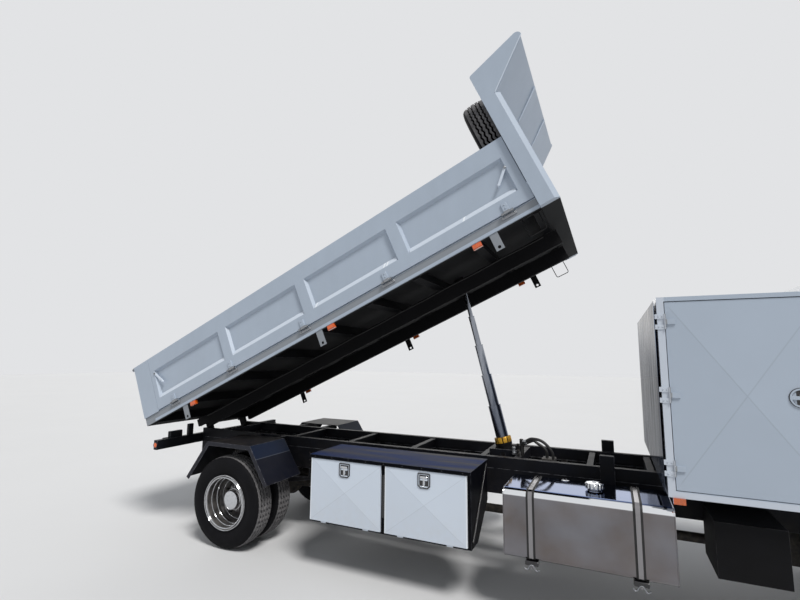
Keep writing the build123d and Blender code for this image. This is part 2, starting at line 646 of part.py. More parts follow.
with BuildPart(front_road) as cab_shell:
    with BuildSketch(front_side):
        outline(cab_outline)
    extrude(amount=cab_half, both=True)
    with BuildSketch(front_side):
        outline(cabin_outline)
    extrude(amount=cab_half - cab_skin, both=True, mode=Mode.SUBTRACT)
    block((300, cab_nose - cab_skin), (-cab_half + cab_skin, cab_half - cab_skin), (0, cab_floor), mode=Mode.SUBTRACT)
    with BuildSketch(front_side):
        outline(doorway)
    extrude(amount=cab_half, both=True, mode=Mode.SUBTRACT)
    with BuildSketch(front_across.offset(800)):
        with Locations((0, (screen_low + screen_high) / 2)):
            RectangleRounded(2 * screen_half, screen_high - screen_low, 70)
    extrude(amount=500, mode=Mode.SUBTRACT)
    block((cab_rear, cab_rear + cab_skin), (-rear_pane_half, rear_pane_half), rear_pane, mode=Mode.SUBTRACT)
with BuildPart() as cab_fittings:
    for z in cab_hinges:
        hinge_half(front_road, cab_hinge_x, -cab_half, z, 1, False)
    with BuildSketch(front_side.offset(bracket_in)):
        outline([(cab_pivot_x - 26, cab_pivot_z), (cab_pivot_x - 26, cab_low + 60), (cab_nose - cab_skin + 5, cab_low + 60),
                 (cab_nose - cab_skin + 5, cab_low + 10), (cab_pivot_x + 26, cab_pivot_z)])
        with Locations((cab_pivot_x, cab_pivot_z)):
            Circle(26)
            Circle(cab_pin_radius + seat_gap, mode=Mode.SUBTRACT)
    extrude(amount=24)
    mirror(about=Plane.XZ)
with BuildPart() as cab_whole:
    add(cab_shell.part)
    add(cab_fittings.part)
pieces["cab_shell"] = cab_whole

with BuildPart(front_road) as windscreen:
    with BuildSketch(front_side):
        outline([(968, cab_roof - 100), (976, cab_roof - 100), (cab_nose - 16, windscreen_foot),
                 (cab_nose - 24, windscreen_foot)])
    extrude(amount=cab_half, both=True)
    with BuildSketch(front_across.offset(800)):
        with Locations((0, (screen_low + screen_high) / 2)):
            RectangleRounded(2 * (screen_half - seat_gap), screen_high - screen_low - 2 * seat_gap, 70)
    extrude(amount=500, mode=Mode.INTERSECT)
pieces["windscreen"] = windscreen

with BuildPart(front_road) as cab_rear_window:
    block((cab_rear + 20, cab_rear + 26), (-rear_pane_half + seat_gap, rear_pane_half - seat_gap),
          (rear_pane[0] + seat_gap, rear_pane[1] - seat_gap))
pieces["cab_rear_window"] = cab_rear_window

door_shape = [(-75, 1235), (-75, door_top - 5), (747, door_top - 5), (1025, 1899), (1025, 985), (593, 985),
              (473, 1235)]
door_window = [(10, 1950), (10, door_top - 80), (700, door_top - 80), (930, 1950)]
with BuildPart() as cab_door:
    with BuildSketch(front_side.offset(cab_half - cab_skin)):
        outline(door_shape)
        outline(door_window, mode=Mode.SUBTRACT)
    extrude(amount=cab_skin)
    for z in cab_hinges:
        hinge_half(front_road, cab_hinge_x, -cab_half, z, -1, True)
both_sides("cab_door", cab_door)

pane_inset, pane_thick = 20, 5
with BuildPart() as cab_door_glass:
    with BuildSketch(front_side.offset(cab_half - pane_inset - pane_thick)):
        outline(door_window)
        offset(amount=-seat_gap)
    extrude(amount=pane_thick)
both_sides("cab_door_glass", cab_door_glass)

# Seats, dashboard with its steering wheel, mirrors and grille
seat_top = 1620
mirror_in, mirror_out = cab_half + 50, cab_half + 250
mirror_low, mirror_high = cab_roof - 1110, cab_roof - 560
with BuildPart(front_road) as seats:
    for y in (-560, 0, 560):
        block((-440, 60), (y - 230, y + 230), (cab_floor + cab_skin, seat_top))
        block((-500, -350), (y - 220, y + 220), (seat_top, cab_roof - 560))
pieces["seats"] = seats

wheel_centre = (front_axle_x + 630, -520, 1900)
column = Plane(origin=wheel_centre, x_dir=(0, 1, 0), z_dir=(-0.5, 0, 0.866))
with BuildPart(front_road) as dashboard:
    block((800, cab_nose - cab_skin), (-cab_half + cab_skin + 60, cab_half - cab_skin - 60), (1480, windscreen_foot - 30))
    with BuildSketch(column):
        Circle(40)
    extrude(amount=-420)
    with BuildSketch(column.offset(-15)):
        Circle(230)
        Circle(200, mode=Mode.SUBTRACT)
        with Locations((0, 0)):
            Rectangle(420, 40)
    extrude(amount=30)
pieces["dashboard"] = dashboard

with BuildPart(front_road) as mirrors:
    block((1060, 1130), (-mirror_out, -mirror_in), (mirror_low, mirror_high))
    block((1070, 1100), (-mirror_in - 10, -cab_half), (mirror_high - 120, mirror_high - 90))
    block((1070, 1100), (-mirror_in - 10, -cab_half), (mirror_low + 80, mirror_low + 110))
    mirror(about=Plane.XZ)
pieces["mirrors"] = mirrors

with BuildPart(front_road) as grille:
    block((cab_nose, cab_nose + 20), (-800, 800), (1200, 1700))
    for row in range(6):
        z = 1230 + 80 * row
        block((cab_nose + 20, cab_nose + 40), (-760, 760), (z, z + 40))
pieces["grille"] = grille

# Cab mounts: pivot lugs at the front, posts at the rear
lug_in, lug_thick = rail_y, 24
with BuildPart(front_road) as cab_mounts:
    block((rail_overhang - 60, cab_pivot_x + 22), (-lug_in - lug_thick, -lug_in), (cab_pivot_z - 22, cab_pivot_z + 22))
    with BuildSketch(front_side.offset(lug_in)):
        with Locations((cab_pivot_x, cab_pivot_z)):
            Circle(cab_pin_radius)
    extrude(amount=bracket_in - lug_in + 35)
    block((-520, -440), (-rail_y, -rail_y + 70), (rail_top, cab_floor - seat_gap))
    mirror(about=Plane.XZ)
pieces["cab_mounts"] = cab_mounts

# Bumper, bent round at its ends, with steps behind its corners
with BuildPart(front_road) as front_bumper:
    with BuildSketch(front_road.offset(bumper_low)):
        with BuildLine():
            tip, bend, flat = bumper_half, bumper_half - 110, bumper_half - 280
            Polyline((rail_overhang, 130 - tip), (rail_overhang, tip - 130), (rail_overhang, tip))
            ThreePointArc((rail_overhang, tip), (front_overhang - 30, bend), (front_overhang, flat))
            Line((front_overhang, flat), (front_overhang, -flat))
            ThreePointArc((front_overhang, -flat), (front_overhang - 30, -bend), (rail_overhang, -tip))
            Line((rail_overhang, -tip), (rail_overhang, 130 - tip))
        make_face()
    extrude(amount=bumper_top - bumper_low)
    for y in (-960, 960):
        block((front_overhang - 60, front_overhang), (y - 150, y + 150), (540, 700), mode=Mode.SUBTRACT)
pieces["front_bumper"] = front_bumper

with BuildPart(front_road) as cab_steps:
    block((700, rail_overhang), (-1180, -850), (bumper_low + 20, bumper_low + 60))
    block((700, rail_overhang), (-1180, -880), (bumper_low + 260, bumper_low + 300))
    block((700, rail_overhang), (-880, -840), (bumper_low + 20, bumper_top))
    block((900, 980), (-840, -rail_y), (rail_bottom, bumper_top))
    mirror(about=Plane.XZ)
pieces["cab_steps"] = cab_steps

# All lamps on the chassis
with BuildPart(road) as lamps:
    block((front_reach - 60, front_reach - 15), (-1110, -810), (540, 700))
    block((rail_rear - lamp_bar_deep - 8, rail_rear - lamp_bar_deep + 15), (20 - lamp_bar_half, 380 - lamp_bar_half),
          (lamp_bar_span[0] + 10, lamp_bar_span[1] - 10))
    block((canopy_rear + 30, canopy_rear + 110), (-canopy_half - 12, -canopy_half + 20),
          (subframe_top - 45, subframe_top))
    mirror(about=Plane.XZ)
pieces["lamps"] = lamps

# Bed underframe: bearers with a hinge lug each, cross members and the hoist's lugs
lug_radius, lug_y, lug_wide = 50, hinge_pin_in + 8, 40
notch_front, notch_up = 80, 130
eye_lug_in, eye_lug_thick = 75, 20
hoop_rear, hoop_front, hoop_low, hoop_y, hoop_rod = bed_front - 200, bed_front - 35, 60, bed_half - 73, 5
member_pitch = (eye_along - 758) / 5
bed_member_places = [member_pitch * number for number in range(6)]
bed_member_places += [eye_along - 168, eye_along + 512, bed_front - 45]
with BuildPart(bed) as bed_underframe:
    with BuildSketch(bed_side.offset(bearer_y - bearer_width)):
        outline([(bed_rear, notch_up), (bed_rear, bearer_top), (bed_front + 40, bearer_top),
                 (bed_front + 40, bearer_bottom), (notch_front, bearer_bottom), (notch_front, notch_up)])
    extrude(amount=bearer_width)
    with BuildSketch(bed_side.offset(lug_y)):
        with Locations((0, 0)):
            Circle(lug_radius)
        with Locations((0, notch_up / 2)):
            Rectangle(2 * lug_radius, notch_up)
    extrude(amount=lug_wide)
    with BuildSketch(bed_side.offset(lug_y)):
        Circle(hinge_pin_radius + seat_gap)
    extrude(amount=lug_wide, mode=Mode.SUBTRACT)
    block((eye_along - 60, eye_along + 60), (-eye_lug_in - eye_lug_thick, -eye_lug_in),
          (eye_up - 45, floor_top - floor_thick))
    with BuildLine(bed_side.offset(hoop_y)) as hoop_path:
        FilletPolyline((hoop_rear, rave_bottom), (hoop_rear, hoop_low), (hoop_front, hoop_low), (hoop_front, rave_bottom),
                       radius=22)
    with BuildSketch(Plane(origin=hoop_path.line @ 0, z_dir=hoop_path.line % 0)):
        Circle(hoop_rod)
    sweep(path=hoop_path.line)
    block((hoop_rear - 30, hoop_front + 30), (-hoop_y - 12, -hoop_y + 12), (rave_bottom - 4, bearer_top + 30))
    mirror(about=Plane.XZ)
    block((-lug_radius, lug_radius), (-bearer_y, bearer_y), (notch_up, bearer_top))
    reach = bed_half - rave_inset - rave_wide
    for x in bed_member_places:
        block((x - 40, x + 40), (-reach, reach), (bearer_top, floor_top - floor_thick))
pieces["bed_underframe"] = bed_underframe

def shared(ends, shares):
    """Places between two ends, each at its share of the way."""
    return [ends[0] + share * (ends[1] - ends[0]) for share in shares]


# Bed floor with the raves along its edges, the rear posts, and the lugs of the sides' hinges
side_hinge_ends, side_hinge_shares = (470, bed_front - 275), (0, 0.219, 0.4635, 0.706, 1)
bracket_ends, bracket_shares = (605, bed_front - 482), (0, 0.506, 1)
side_hinge_places = shared(side_hinge_ends, side_hinge_shares)
bracket_places = shared(bracket_ends, bracket_shares)
bracket_wide, bracket_low, bracket_thick, bracket_hole = 84, 70, 10, 16
bed_lamp_places = [place + step for place, step in zip(bracket_places, (140, 160, -183))]
hinge_wide, lug_long = 60, 30
side_hinge_y, side_hinge_up = bed_half + side_hinge_out, floor_top
with BuildPart(bed) as bed_floor:
    block((bed_rear, bed_front), (-bed_half + rave_inset, 0), (floor_top - floor_thick, floor_top))
    block((bed_rear, bed_front), (-bed_half + rave_inset, -bed_half + rave_inset + rave_wide),
          (rave_bottom, floor_top - floor_thick))
    block((bed_rear, rear_post_front), (-bed_half, -bed_half + side_thick), (floor_top - floor_thick, side_top))
    with BuildSketch(bed_side.offset(bed_half - side_thick)):
        with Locations((gate_hinge_along, gate_hinge_up)):
            Circle(gate_lug_radius)
        with Locations((gate_hinge_along + gate_hinge_back / 2 + 5, gate_hinge_up)):
            Rectangle(gate_hinge_back + 10, 2 * gate_lug_radius)
    extrude(amount=side_thick)
    with BuildSketch(bed_side.offset(bed_half - side_thick)):
        with Locations((gate_hinge_along, gate_hinge_up)):
            Circle(gate_pin_radius + seat_gap)
    extrude(amount=side_thick, mode=Mode.SUBTRACT)
    for x in side_hinge_places:
        for end in (x - hinge_wide / 2 - lug_long - 2, x + hinge_wide / 2 + 2):
            block((end, end + lug_long), (-side_hinge_y, -bed_half + rave_inset), (side_hinge_up - 11, side_hinge_up))
        with BuildSketch(bed_across.offset(x - hinge_wide / 2 - lug_long - 2)):
            with Locations((-side_hinge_y, side_hinge_up)):
                Circle(side_pin_radius)
        extrude(amount=hinge_wide + 2 * lug_long + 4)
    for x in bracket_places:
        with BuildSketch(bed_side.offset(bed_half - rave_inset - bracket_thick)):
            with Locations((x, (bracket_low + rave_bottom + 30) / 2)):
                Rectangle(bracket_wide, rave_bottom + 30 - bracket_low)
            with Locations((x, bracket_low + 30)):
                Circle(bracket_hole, mode=Mode.SUBTRACT)
        extrude(amount=bracket_thick)
    mirror(about=Plane.XZ)
    block((bed_rear, bed_rear + 60), (-bed_half + rave_inset, bed_half - rave_inset),
          (rave_bottom, floor_top - floor_thick))
pieces["bed_floor"] = bed_floor

# Marker lamps under the raves, beside the brackets
with BuildPart(bed) as bed_lamps:
    for x in bed_lamp_places:
        block((x - 48, x + 48), (-bed_half + rave_inset, -bed_half + rave_inset + 30), (rave_bottom - 50, rave_bottom))
        block((x - 40, x + 40), (-bed_half + rave_inset - 8, -bed_half + rave_inset), (rave_bottom - 44, rave_bottom - 6))
    mirror(about=Plane.XZ)
pieces["bed_lamps"] = bed_lamps

# Headboard: two posts that run on as gussets, a sheet between them, and the cab guard's sheet above its knee
knee_along = post_front - 46
guard_slope = degrees(atan2(guard_tip_high - 20 - guard_knee, guard_tip_x - knee_along))
guard_long = hypot(guard_tip_high - 20 - guard_knee, guard_tip_x - knee_along)
guard_rib_places = (-390, 390)
with BuildPart(bed) as headboard:
    with BuildSketch(bed_side.offset(post_half - post_thick)):
        outline([(bed_front, rave_bottom), (bed_front, post_top - 60), (bed_front + 60, post_top - 60),
                 (knee_along, guard_knee), (knee_along, rave_bottom)])
    extrude(amount=post_thick)
    with BuildSketch(bed.offset(rave_bottom)):
        outline([(knee_along, -post_half), (post_front, -post_half + post_chamfer),
                 (post_front, -post_half + post_thick), (knee_along, -post_half + post_thick)])
    extrude(amount=guard_knee - rave_bottom)
    with BuildSketch(bed_side.offset(post_half - guard_plate)):
        with BuildLine():
            Line((knee_along, guard_knee), (bed_front, guard_knee))
            Line((bed_front, guard_knee), (bed_front, post_top - 25))
            RadiusArc((bed_front, post_top - 25), (bed_front + 25, post_top), 28)
            Line((bed_front + 25, post_top), (guard_tip_x - 52, guard_tip_high))
            RadiusArc((guard_tip_x - 52, guard_tip_high), (guard_tip_x, guard_tip_low + 18), 46)
            Line((guard_tip_x, guard_tip_low + 18), (knee_along, guard_knee))
        make_face()
    extrude(amount=guard_plate)
    mirror(about=Plane.XZ)
    reach = post_half - post_thick
    block((sheet_rear, sheet_front), (-reach, reach), (rave_bottom, guard_knee))
    block((bed_front, post_front), (-reach, reach), (rave_bottom, floor_top - floor_thick))
    with BuildSketch(bed_side.offset(-(post_half - guard_plate))):
        outline([(sheet_rear, guard_knee - 12), (sheet_rear, guard_knee), (knee_along, guard_knee),
                 (guard_tip_x - 14, guard_tip_low + 8), (guard_tip_x - 14, guard_tip_low - 4),
                 (knee_along + 4, guard_knee - 12)])
    extrude(amount=2 * (post_half - guard_plate))
    for y in guard_rib_places:
        with BuildSketch(bed_side.offset(-y - 5)):
            outline([(knee_along + 110, guard_knee + 76), (guard_tip_x - 20, guard_tip_low - 2),
                     (guard_tip_x - 20, guard_tip_low - 30)])
        extrude(amount=10)
    for z in head_rib_places:
        block((sheet_front, sheet_front + 30), (-reach, reach), (z, z + 60))
pieces["headboard"] = headboard

# Drop sides: boards with four pressed panels, latch levers and hinge knuckles
stile, panel_start, panel_end, panel_more = 133, 222, 102, 77     # the end panels are longer by panel_more
inner_panel = (bed_front - panel_end - panel_start - 3 * stile - 2 * panel_more) / 4
outer_panel = inner_panel + panel_more
panel_low, panel_high, panel_deep, panel_bevel = 496, 873, 34, 35
lever_table = (             # along and up of the pivot end, then of the handle's end
    (230, 830, 345, 675),
    (bed_front - 110, 763, bed_front - 234, 634),
)
with BuildPart(bed) as drop_side:
    block((rear_post_front + running_gap, bed_front - running_gap), (-bed_half, -bed_half + side_thick),
          (side_bottom, side_top))
    x = panel_start
    for width in (outer_panel, inner_panel, inner_panel, outer_panel):
        with BuildSketch(bed_side.offset(bed_half)):
            with Locations((x + width / 2, (panel_low + panel_high) / 2)):
                Rectangle(width, panel_high - panel_low)
        extrude(amount=-panel_deep, taper=panel_bevel, mode=Mode.SUBTRACT)
        x += width + stile
    for along, up, end_along, end_up in lever_table:
        with BuildSketch(bed_side.offset(bed_half - panel_deep - 1)):
            with Locations((along, up)):
                Circle(14)
        extrude(amount=panel_deep + 5)
        with BuildSketch(bed_side.offset(bed_half - 4)):
            with Locations(Location(((along + end_along) / 2, (up + end_up) / 2, 0),
                                    (0, 0, degrees(atan2(end_up - up, end_along - along))))):
                SlotOverall(hypot(end_along - along, end_up - up) + 24, 24)
        extrude(amount=8)
    for x in side_hinge_places:
        block((x - hinge_wide / 2, x + hinge_wide / 2), (-side_hinge_y, -bed_half), (side_hinge_up, side_bottom + 90))
        with BuildSketch(bed_across.offset(x - hinge_wide / 2)):
            with Locations((-side_hinge_y, side_hinge_up)):
                Circle(side_knuckle)
        extrude(amount=hinge_wide)
        with BuildSketch(bed_across.offset(x - hinge_wide / 2)):
            with Locations((-side_hinge_y, side_hinge_up)):
                Circle(side_pin_radius + seat_gap)
        extrude(amount=hinge_wide, mode=Mode.SUBTRACT)
both_sides("drop_side", drop_side)

# Tailgate, hung at its top between the rear posts
gate_reach = bed_half - side_thick - running_gap
with BuildPart(bed) as tailgate:
    block((bed_rear, bed_rear + gate_thick), (-gate_reach, gate_reach), (side_bottom, side_top - 12))
    with BuildSketch(bed_side.offset(gate_reach - 30)):
        with Locations((gate_hinge_along, gate_hinge_up)):
            Circle(gate_lug_radius)
        with Locations((gate_hinge_along + gate_hinge_back / 2, gate_hinge_up - 20)):
            Rectangle(gate_hinge_back + 20, 60)
    extrude(amount=30)
    with BuildSketch(bed_side.offset(gate_reach)):
        with Locations((gate_hinge_along, gate_hinge_up)):
            Circle(gate_pin_radius)
    extrude(amount=side_thick)
    mirror(about=Plane.XZ)
pieces["tailgate"] = tailgate

# Spare wheel on the headboard
spare_along = sheet_rear - rim_offset
spare_frame = Plane(origin=bed.from_local_coords(Vector(spare_along, spare_y, spare_up)),
                    x_dir=along_bed, z_dir=(0, -1, 0))
spare_axis = Axis(spare_frame.origin, along_bed)
with BuildPart() as spare_wheel:
    with BuildSketch(spare_frame):
        outline(tyre_outline(0))
    revolve(axis=spare_axis)
    with BuildSketch(spare_frame):
        outline([(rim_offset - out, radius) for out, radius in rim_outline(1)])
    revolve(axis=spare_axis)
pieces["spare_wheel"] = spare_wheel

# Hoist, leaning from its trunnion to the eye under the bed
eye_point = bed.from_local_coords(Vector(eye_along, 0, eye_up))
trunnion_point = Vector(rear_axle_x + trunnion_x, 0, trunnion_z)
hoist_way = (eye_point - trunnion_point).normalized()
hoist_length = (eye_point - trunnion_point).length
hoist = Plane(origin=trunnion_point, x_dir=(0, 1, 0), z_dir=hoist_way)


def tube(low, high, outer, inner=0):
    """A tube or bar on the hoist's axis, between two distances from the trunnion."""
    with BuildSketch(hoist.offset(low)) as ring:
        Circle(outer)
        if inner:
            Circle(inner, mode=Mode.SUBTRACT)
    extrude(ring.sketch, amount=high - low)


stage_table = (             # outer radius, inner radius
    (70, 59 + stage_fit),
    (59, 47 + stage_fit),
    (47, 35 + stage_fit),
    (35, rod_radius + stage_fit),
)
stage_stroke = (hoist_length - hoist_closed) / (len(stage_table) + 1)
barrel_bottom = collar_top - stage_length - 15
with BuildPart(hoist) as hoist_barrel:
    tube(barrel_bottom, collar_top, barrel_radius, stage_table[0][0] + stage_fit)
    tube(barrel_bottom - 12, barrel_bottom, barrel_radius)
    tube(collar_top - collar_height, collar_top, barrel_radius + 6, barrel_radius - 1)
    with BuildSketch(side.offset(stage_table[0][0] + 8)):
        with Locations((trunnion_x, trunnion_z)):
            Circle(trunnion_radius)
    extrude(amount=cradle_y + cradle_plate - stage_table[0][0] - 8)
    with BuildSketch(side.offset(-cradle_y - cradle_plate)):
        with Locations((trunnion_x, trunnion_z)):
            Circle(trunnion_radius)
    extrude(amount=cradle_y + cradle_plate - stage_table[0][0] - 8)
pieces["hoist_barrel"] = hoist_barrel

for number, (outer, inner) in enumerate(stage_table, 1):
    top = collar_top + number * (stage_step + stage_stroke)
    with BuildPart(hoist) as hoist_stage:
        tube(top - stage_length - stage_step * number, top, outer, inner)
        tube(top - stage_ring, top, outer + 3, inner)
    pieces[f"hoist_stage_{number}"] = hoist_stage

eye_radius, eye_half = 28, 45
with BuildPart(hoist) as hoist_rod:
    tube(hoist_length - stage_length - 60, hoist_length - 10, rod_radius)
    with BuildSketch(Plane(origin=eye_point, x_dir=(1, 0, 0), z_dir=(0, -1, 0))):
        Circle(eye_radius)
    extrude(amount=eye_half, both=True)
pieces["hoist_rod"] = hoist_rod

os.makedirs("parts", exist_ok=True)
for label, piece in pieces.items():
    piece.part.label = label
    export_step(piece.part, f"parts/{label}.step")
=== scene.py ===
"""Dresses a drop-side tipper truck: paint, rubber and polished metal on its solids, and its small fittings.

Lengths are metres in the part's own frame: +X ahead, +Y left, +Z up, the ground at 0.
"""
import json
import math

import bmesh
import bpy
import numpy as np
from bpy.props import FloatProperty, FloatVectorProperty, IntProperty, PointerProperty
from bpy.types import Operator, Panel, PropertyGroup
from mathutils import Matrix, Vector


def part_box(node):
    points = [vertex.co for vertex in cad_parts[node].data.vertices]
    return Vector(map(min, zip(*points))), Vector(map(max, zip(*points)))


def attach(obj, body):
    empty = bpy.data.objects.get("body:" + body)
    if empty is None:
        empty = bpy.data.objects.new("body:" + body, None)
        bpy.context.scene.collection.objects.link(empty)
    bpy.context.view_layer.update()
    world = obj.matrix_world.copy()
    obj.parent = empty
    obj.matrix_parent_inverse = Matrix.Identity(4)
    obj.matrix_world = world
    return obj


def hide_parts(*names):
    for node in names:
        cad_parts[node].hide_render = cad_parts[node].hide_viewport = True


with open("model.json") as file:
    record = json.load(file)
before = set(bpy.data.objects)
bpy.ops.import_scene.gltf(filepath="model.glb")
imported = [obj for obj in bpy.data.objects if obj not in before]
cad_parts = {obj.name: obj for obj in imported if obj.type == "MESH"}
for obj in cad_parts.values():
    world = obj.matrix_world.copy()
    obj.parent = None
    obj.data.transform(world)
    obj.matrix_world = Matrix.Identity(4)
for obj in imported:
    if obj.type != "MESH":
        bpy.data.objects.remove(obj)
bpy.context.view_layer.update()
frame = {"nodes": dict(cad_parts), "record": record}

bl_info = {
    "name": "Tipper Truck",
    "version": (1, 0, 0),
    "blender": (4, 5, 0),
    "location": "3D View > Sidebar > Tipper",
    "description": "Paint, tyres and fittings for a drop-side tipper truck",
    "category": "Object",
}

NODES = frame["nodes"]
JOINTS = {joint["name"]: joint for joint in frame["record"]["behaviour"]["joints"]}
SIDES = (("right", -1), ("left", 1))
WAYS = (-1, 1)

# Axles, the raised bed's own directions and the hoist's, all from the joints
REAR_X, FRONT_X = (JOINTS[f"{name}_right_axle"]["pos_m"][0] for name in ("rear_wheels", "front_wheel"))
AXLE_Z = JOINTS["rear_wheels_right_axle"]["pos_m"][2]
HINGE = np.array(JOINTS["bed_tip"]["pos_m"])
ALONG = np.array(JOINTS["drop_side_right_hinge"]["axis"])
UP = np.array([-ALONG[2], 0, ALONG[0]])
TRUNNION = np.array(JOINTS["hoist_swing"]["pos_m"])
HOIST = np.array(JOINTS["hoist_rod_slide"]["axis"])
X, Y, Z = np.eye(3)
ACROSS = Y

# Places along the truck, from the rear axle
TANK_X, TANK_Y, TANK_Z = (3.222, 4.525), (-1.183, -0.591), (0.504, 1.070)
STRAPS = (3.454, 4.272)
BOX_DOORS = ((1.206, 2.042), (2.078, 2.905))
BOX_SPLIT, BOX_FRONT = 2.054, 2.938
LOCKER = (4.540, 5.508)
LAMP_BAR = (-1.30, 1.1495, 1.040)

# Places along the bed, from its hinge
SIDE_HINGES = (0.470, 1.4905, 2.6299, 3.760, 5.130)
SIDE_PANELS = ((0.222, 1.431), (1.564, 2.696), (2.829, 3.961), (4.094, 5.303))
SPARE = (5.303, -0.640, 1.300)

# Faces that fittings sit on, out from the truck's middle, ahead of the front axle, and along the bed
BOX_FACE, LID_FACE, RAIL_FACE, DOOR_FACE = 1.2035, 1.2110, 0.419, 1.1505
LOCKER_FACE, HINGE_FACE = 1.2235, 1.2337
NOSE_FACE = 1.2405
GATE_FACE = -0.1345

# Middles of the tyres and the outer faces of the wheels' discs, out from the truck's middle
TWIN_MIDDLES, FRONT_MIDDLE = (0.9115 + 0.167, 0.9115 - 0.167), 1.020
REAR_FACE, FRONT_FACE = 0.9255, 1.187

# The spare's rim: out from its inner face and radius, in millimetres
RIM = [(48, 304), (56, 304), (62, 284), (272, 284), (278, 304), (286, 304), (283, 274), (105, 268), (60, 238),
       (14, 205), (14, 115), (0, 115), (0, 215), (48, 246), (82, 272), (54, 274)]

# Polished steps of the rims: out from the disc, radius, and half their thickness
REAR_BEADS = ((0.281, 0.2775, 0.006), (0.2855, 0.3005, 0.0035), (0.205, 0.2715, 0.006),
              (0.128, 0.2685, 0.006), (0.060, 0.2375, 0.005))
FRONT_BEADS = ((-0.052, 0.2775, 0.005), (-0.0475, 0.3005, 0.0035), (-0.047, 0.2455, 0.004),
               (-0.001, 0.2135, 0.003))

# The windscreen's foot and top, ahead of the front axle and up, and the way it faces
SCREEN_FOOT, SCREEN_TOP = np.array([1.240, 1.880]), np.array([0.990, 2.760])
SCREEN_WAY = np.array([0.96, 0, 0.27])
SEATS = (("right", -0.56), ("middle", 0), ("left", 0.56))

# The camera: its eye from the rear axle, its turn, tip and roll in degrees, and its focal length in pixels
EYE = (4.143, -5.308, 2.190)
TURNED = (25.021, 7.348, 0.452)
FOCAL, PHOTO_WIDTH, SENSOR = 450.53, 800, 36.0


def rear(x, y, z):
    """A point given from the rear axle's line on the ground."""
    return np.array([REAR_X + x, y, z])


def front(x, y, z):
    """A point given from the front axle's line on the ground."""
    return np.array([FRONT_X + x, y, z])


def on_bed(along, y, up):
    """A point given along the bed, across it and up from its hinge."""
    return HINGE + along * ALONG + y * ACROSS + up * UP


# Surfaces

def turns(count, start=0.0):
    """Even turns once round, in radians."""
    return start + np.linspace(0, 2 * math.pi, count, endpoint=False)


def circle(radius, count=16, start=0.0):
    """Points round a circle: radius times the cosine and sine of an even turn."""
    turn = turns(count, start)
    return radius * np.stack([np.cos(turn), np.sin(turn)], -1)


def rounded(width, height, radius, steps=4):
    """The outline of a rectangle with round corners: four quarter circles, in order round the middle."""
    turn = np.linspace(0, math.pi / 2, steps)
    corners = []
    for number, corner in enumerate(((1, 1), (-1, 1), (-1, -1), (1, -1))):
        spin = turn + number * math.pi / 2
        middle = np.array(corner) * (width / 2 - radius, height / 2 - radius)
        corners.append(radius * np.stack([np.cos(spin), np.sin(spin)], -1) + middle)
    return np.concatenate(corners)


def smooth(points, count):
    """A Catmull-Rom curve through the points, each span sampled evenly."""
    points = np.asarray(points, float)
    padded = np.vstack([2 * points[0] - points[1], points, 2 * points[-1] - points[-2]])
    place = np.linspace(0, len(points) - 1 - 1e-9, count)
    span, t = place.astype(int), (place % 1)[:, None]
    a, b, c, d = (padded[span + step] for step in range(4))
    bend, twist = 2 * a - 5 * b + 4 * c - d, 3 * b - a - 3 * c + d
    return 0.5 * (2 * b + (c - a) * t + bend * t ** 2 + twist * t ** 3)


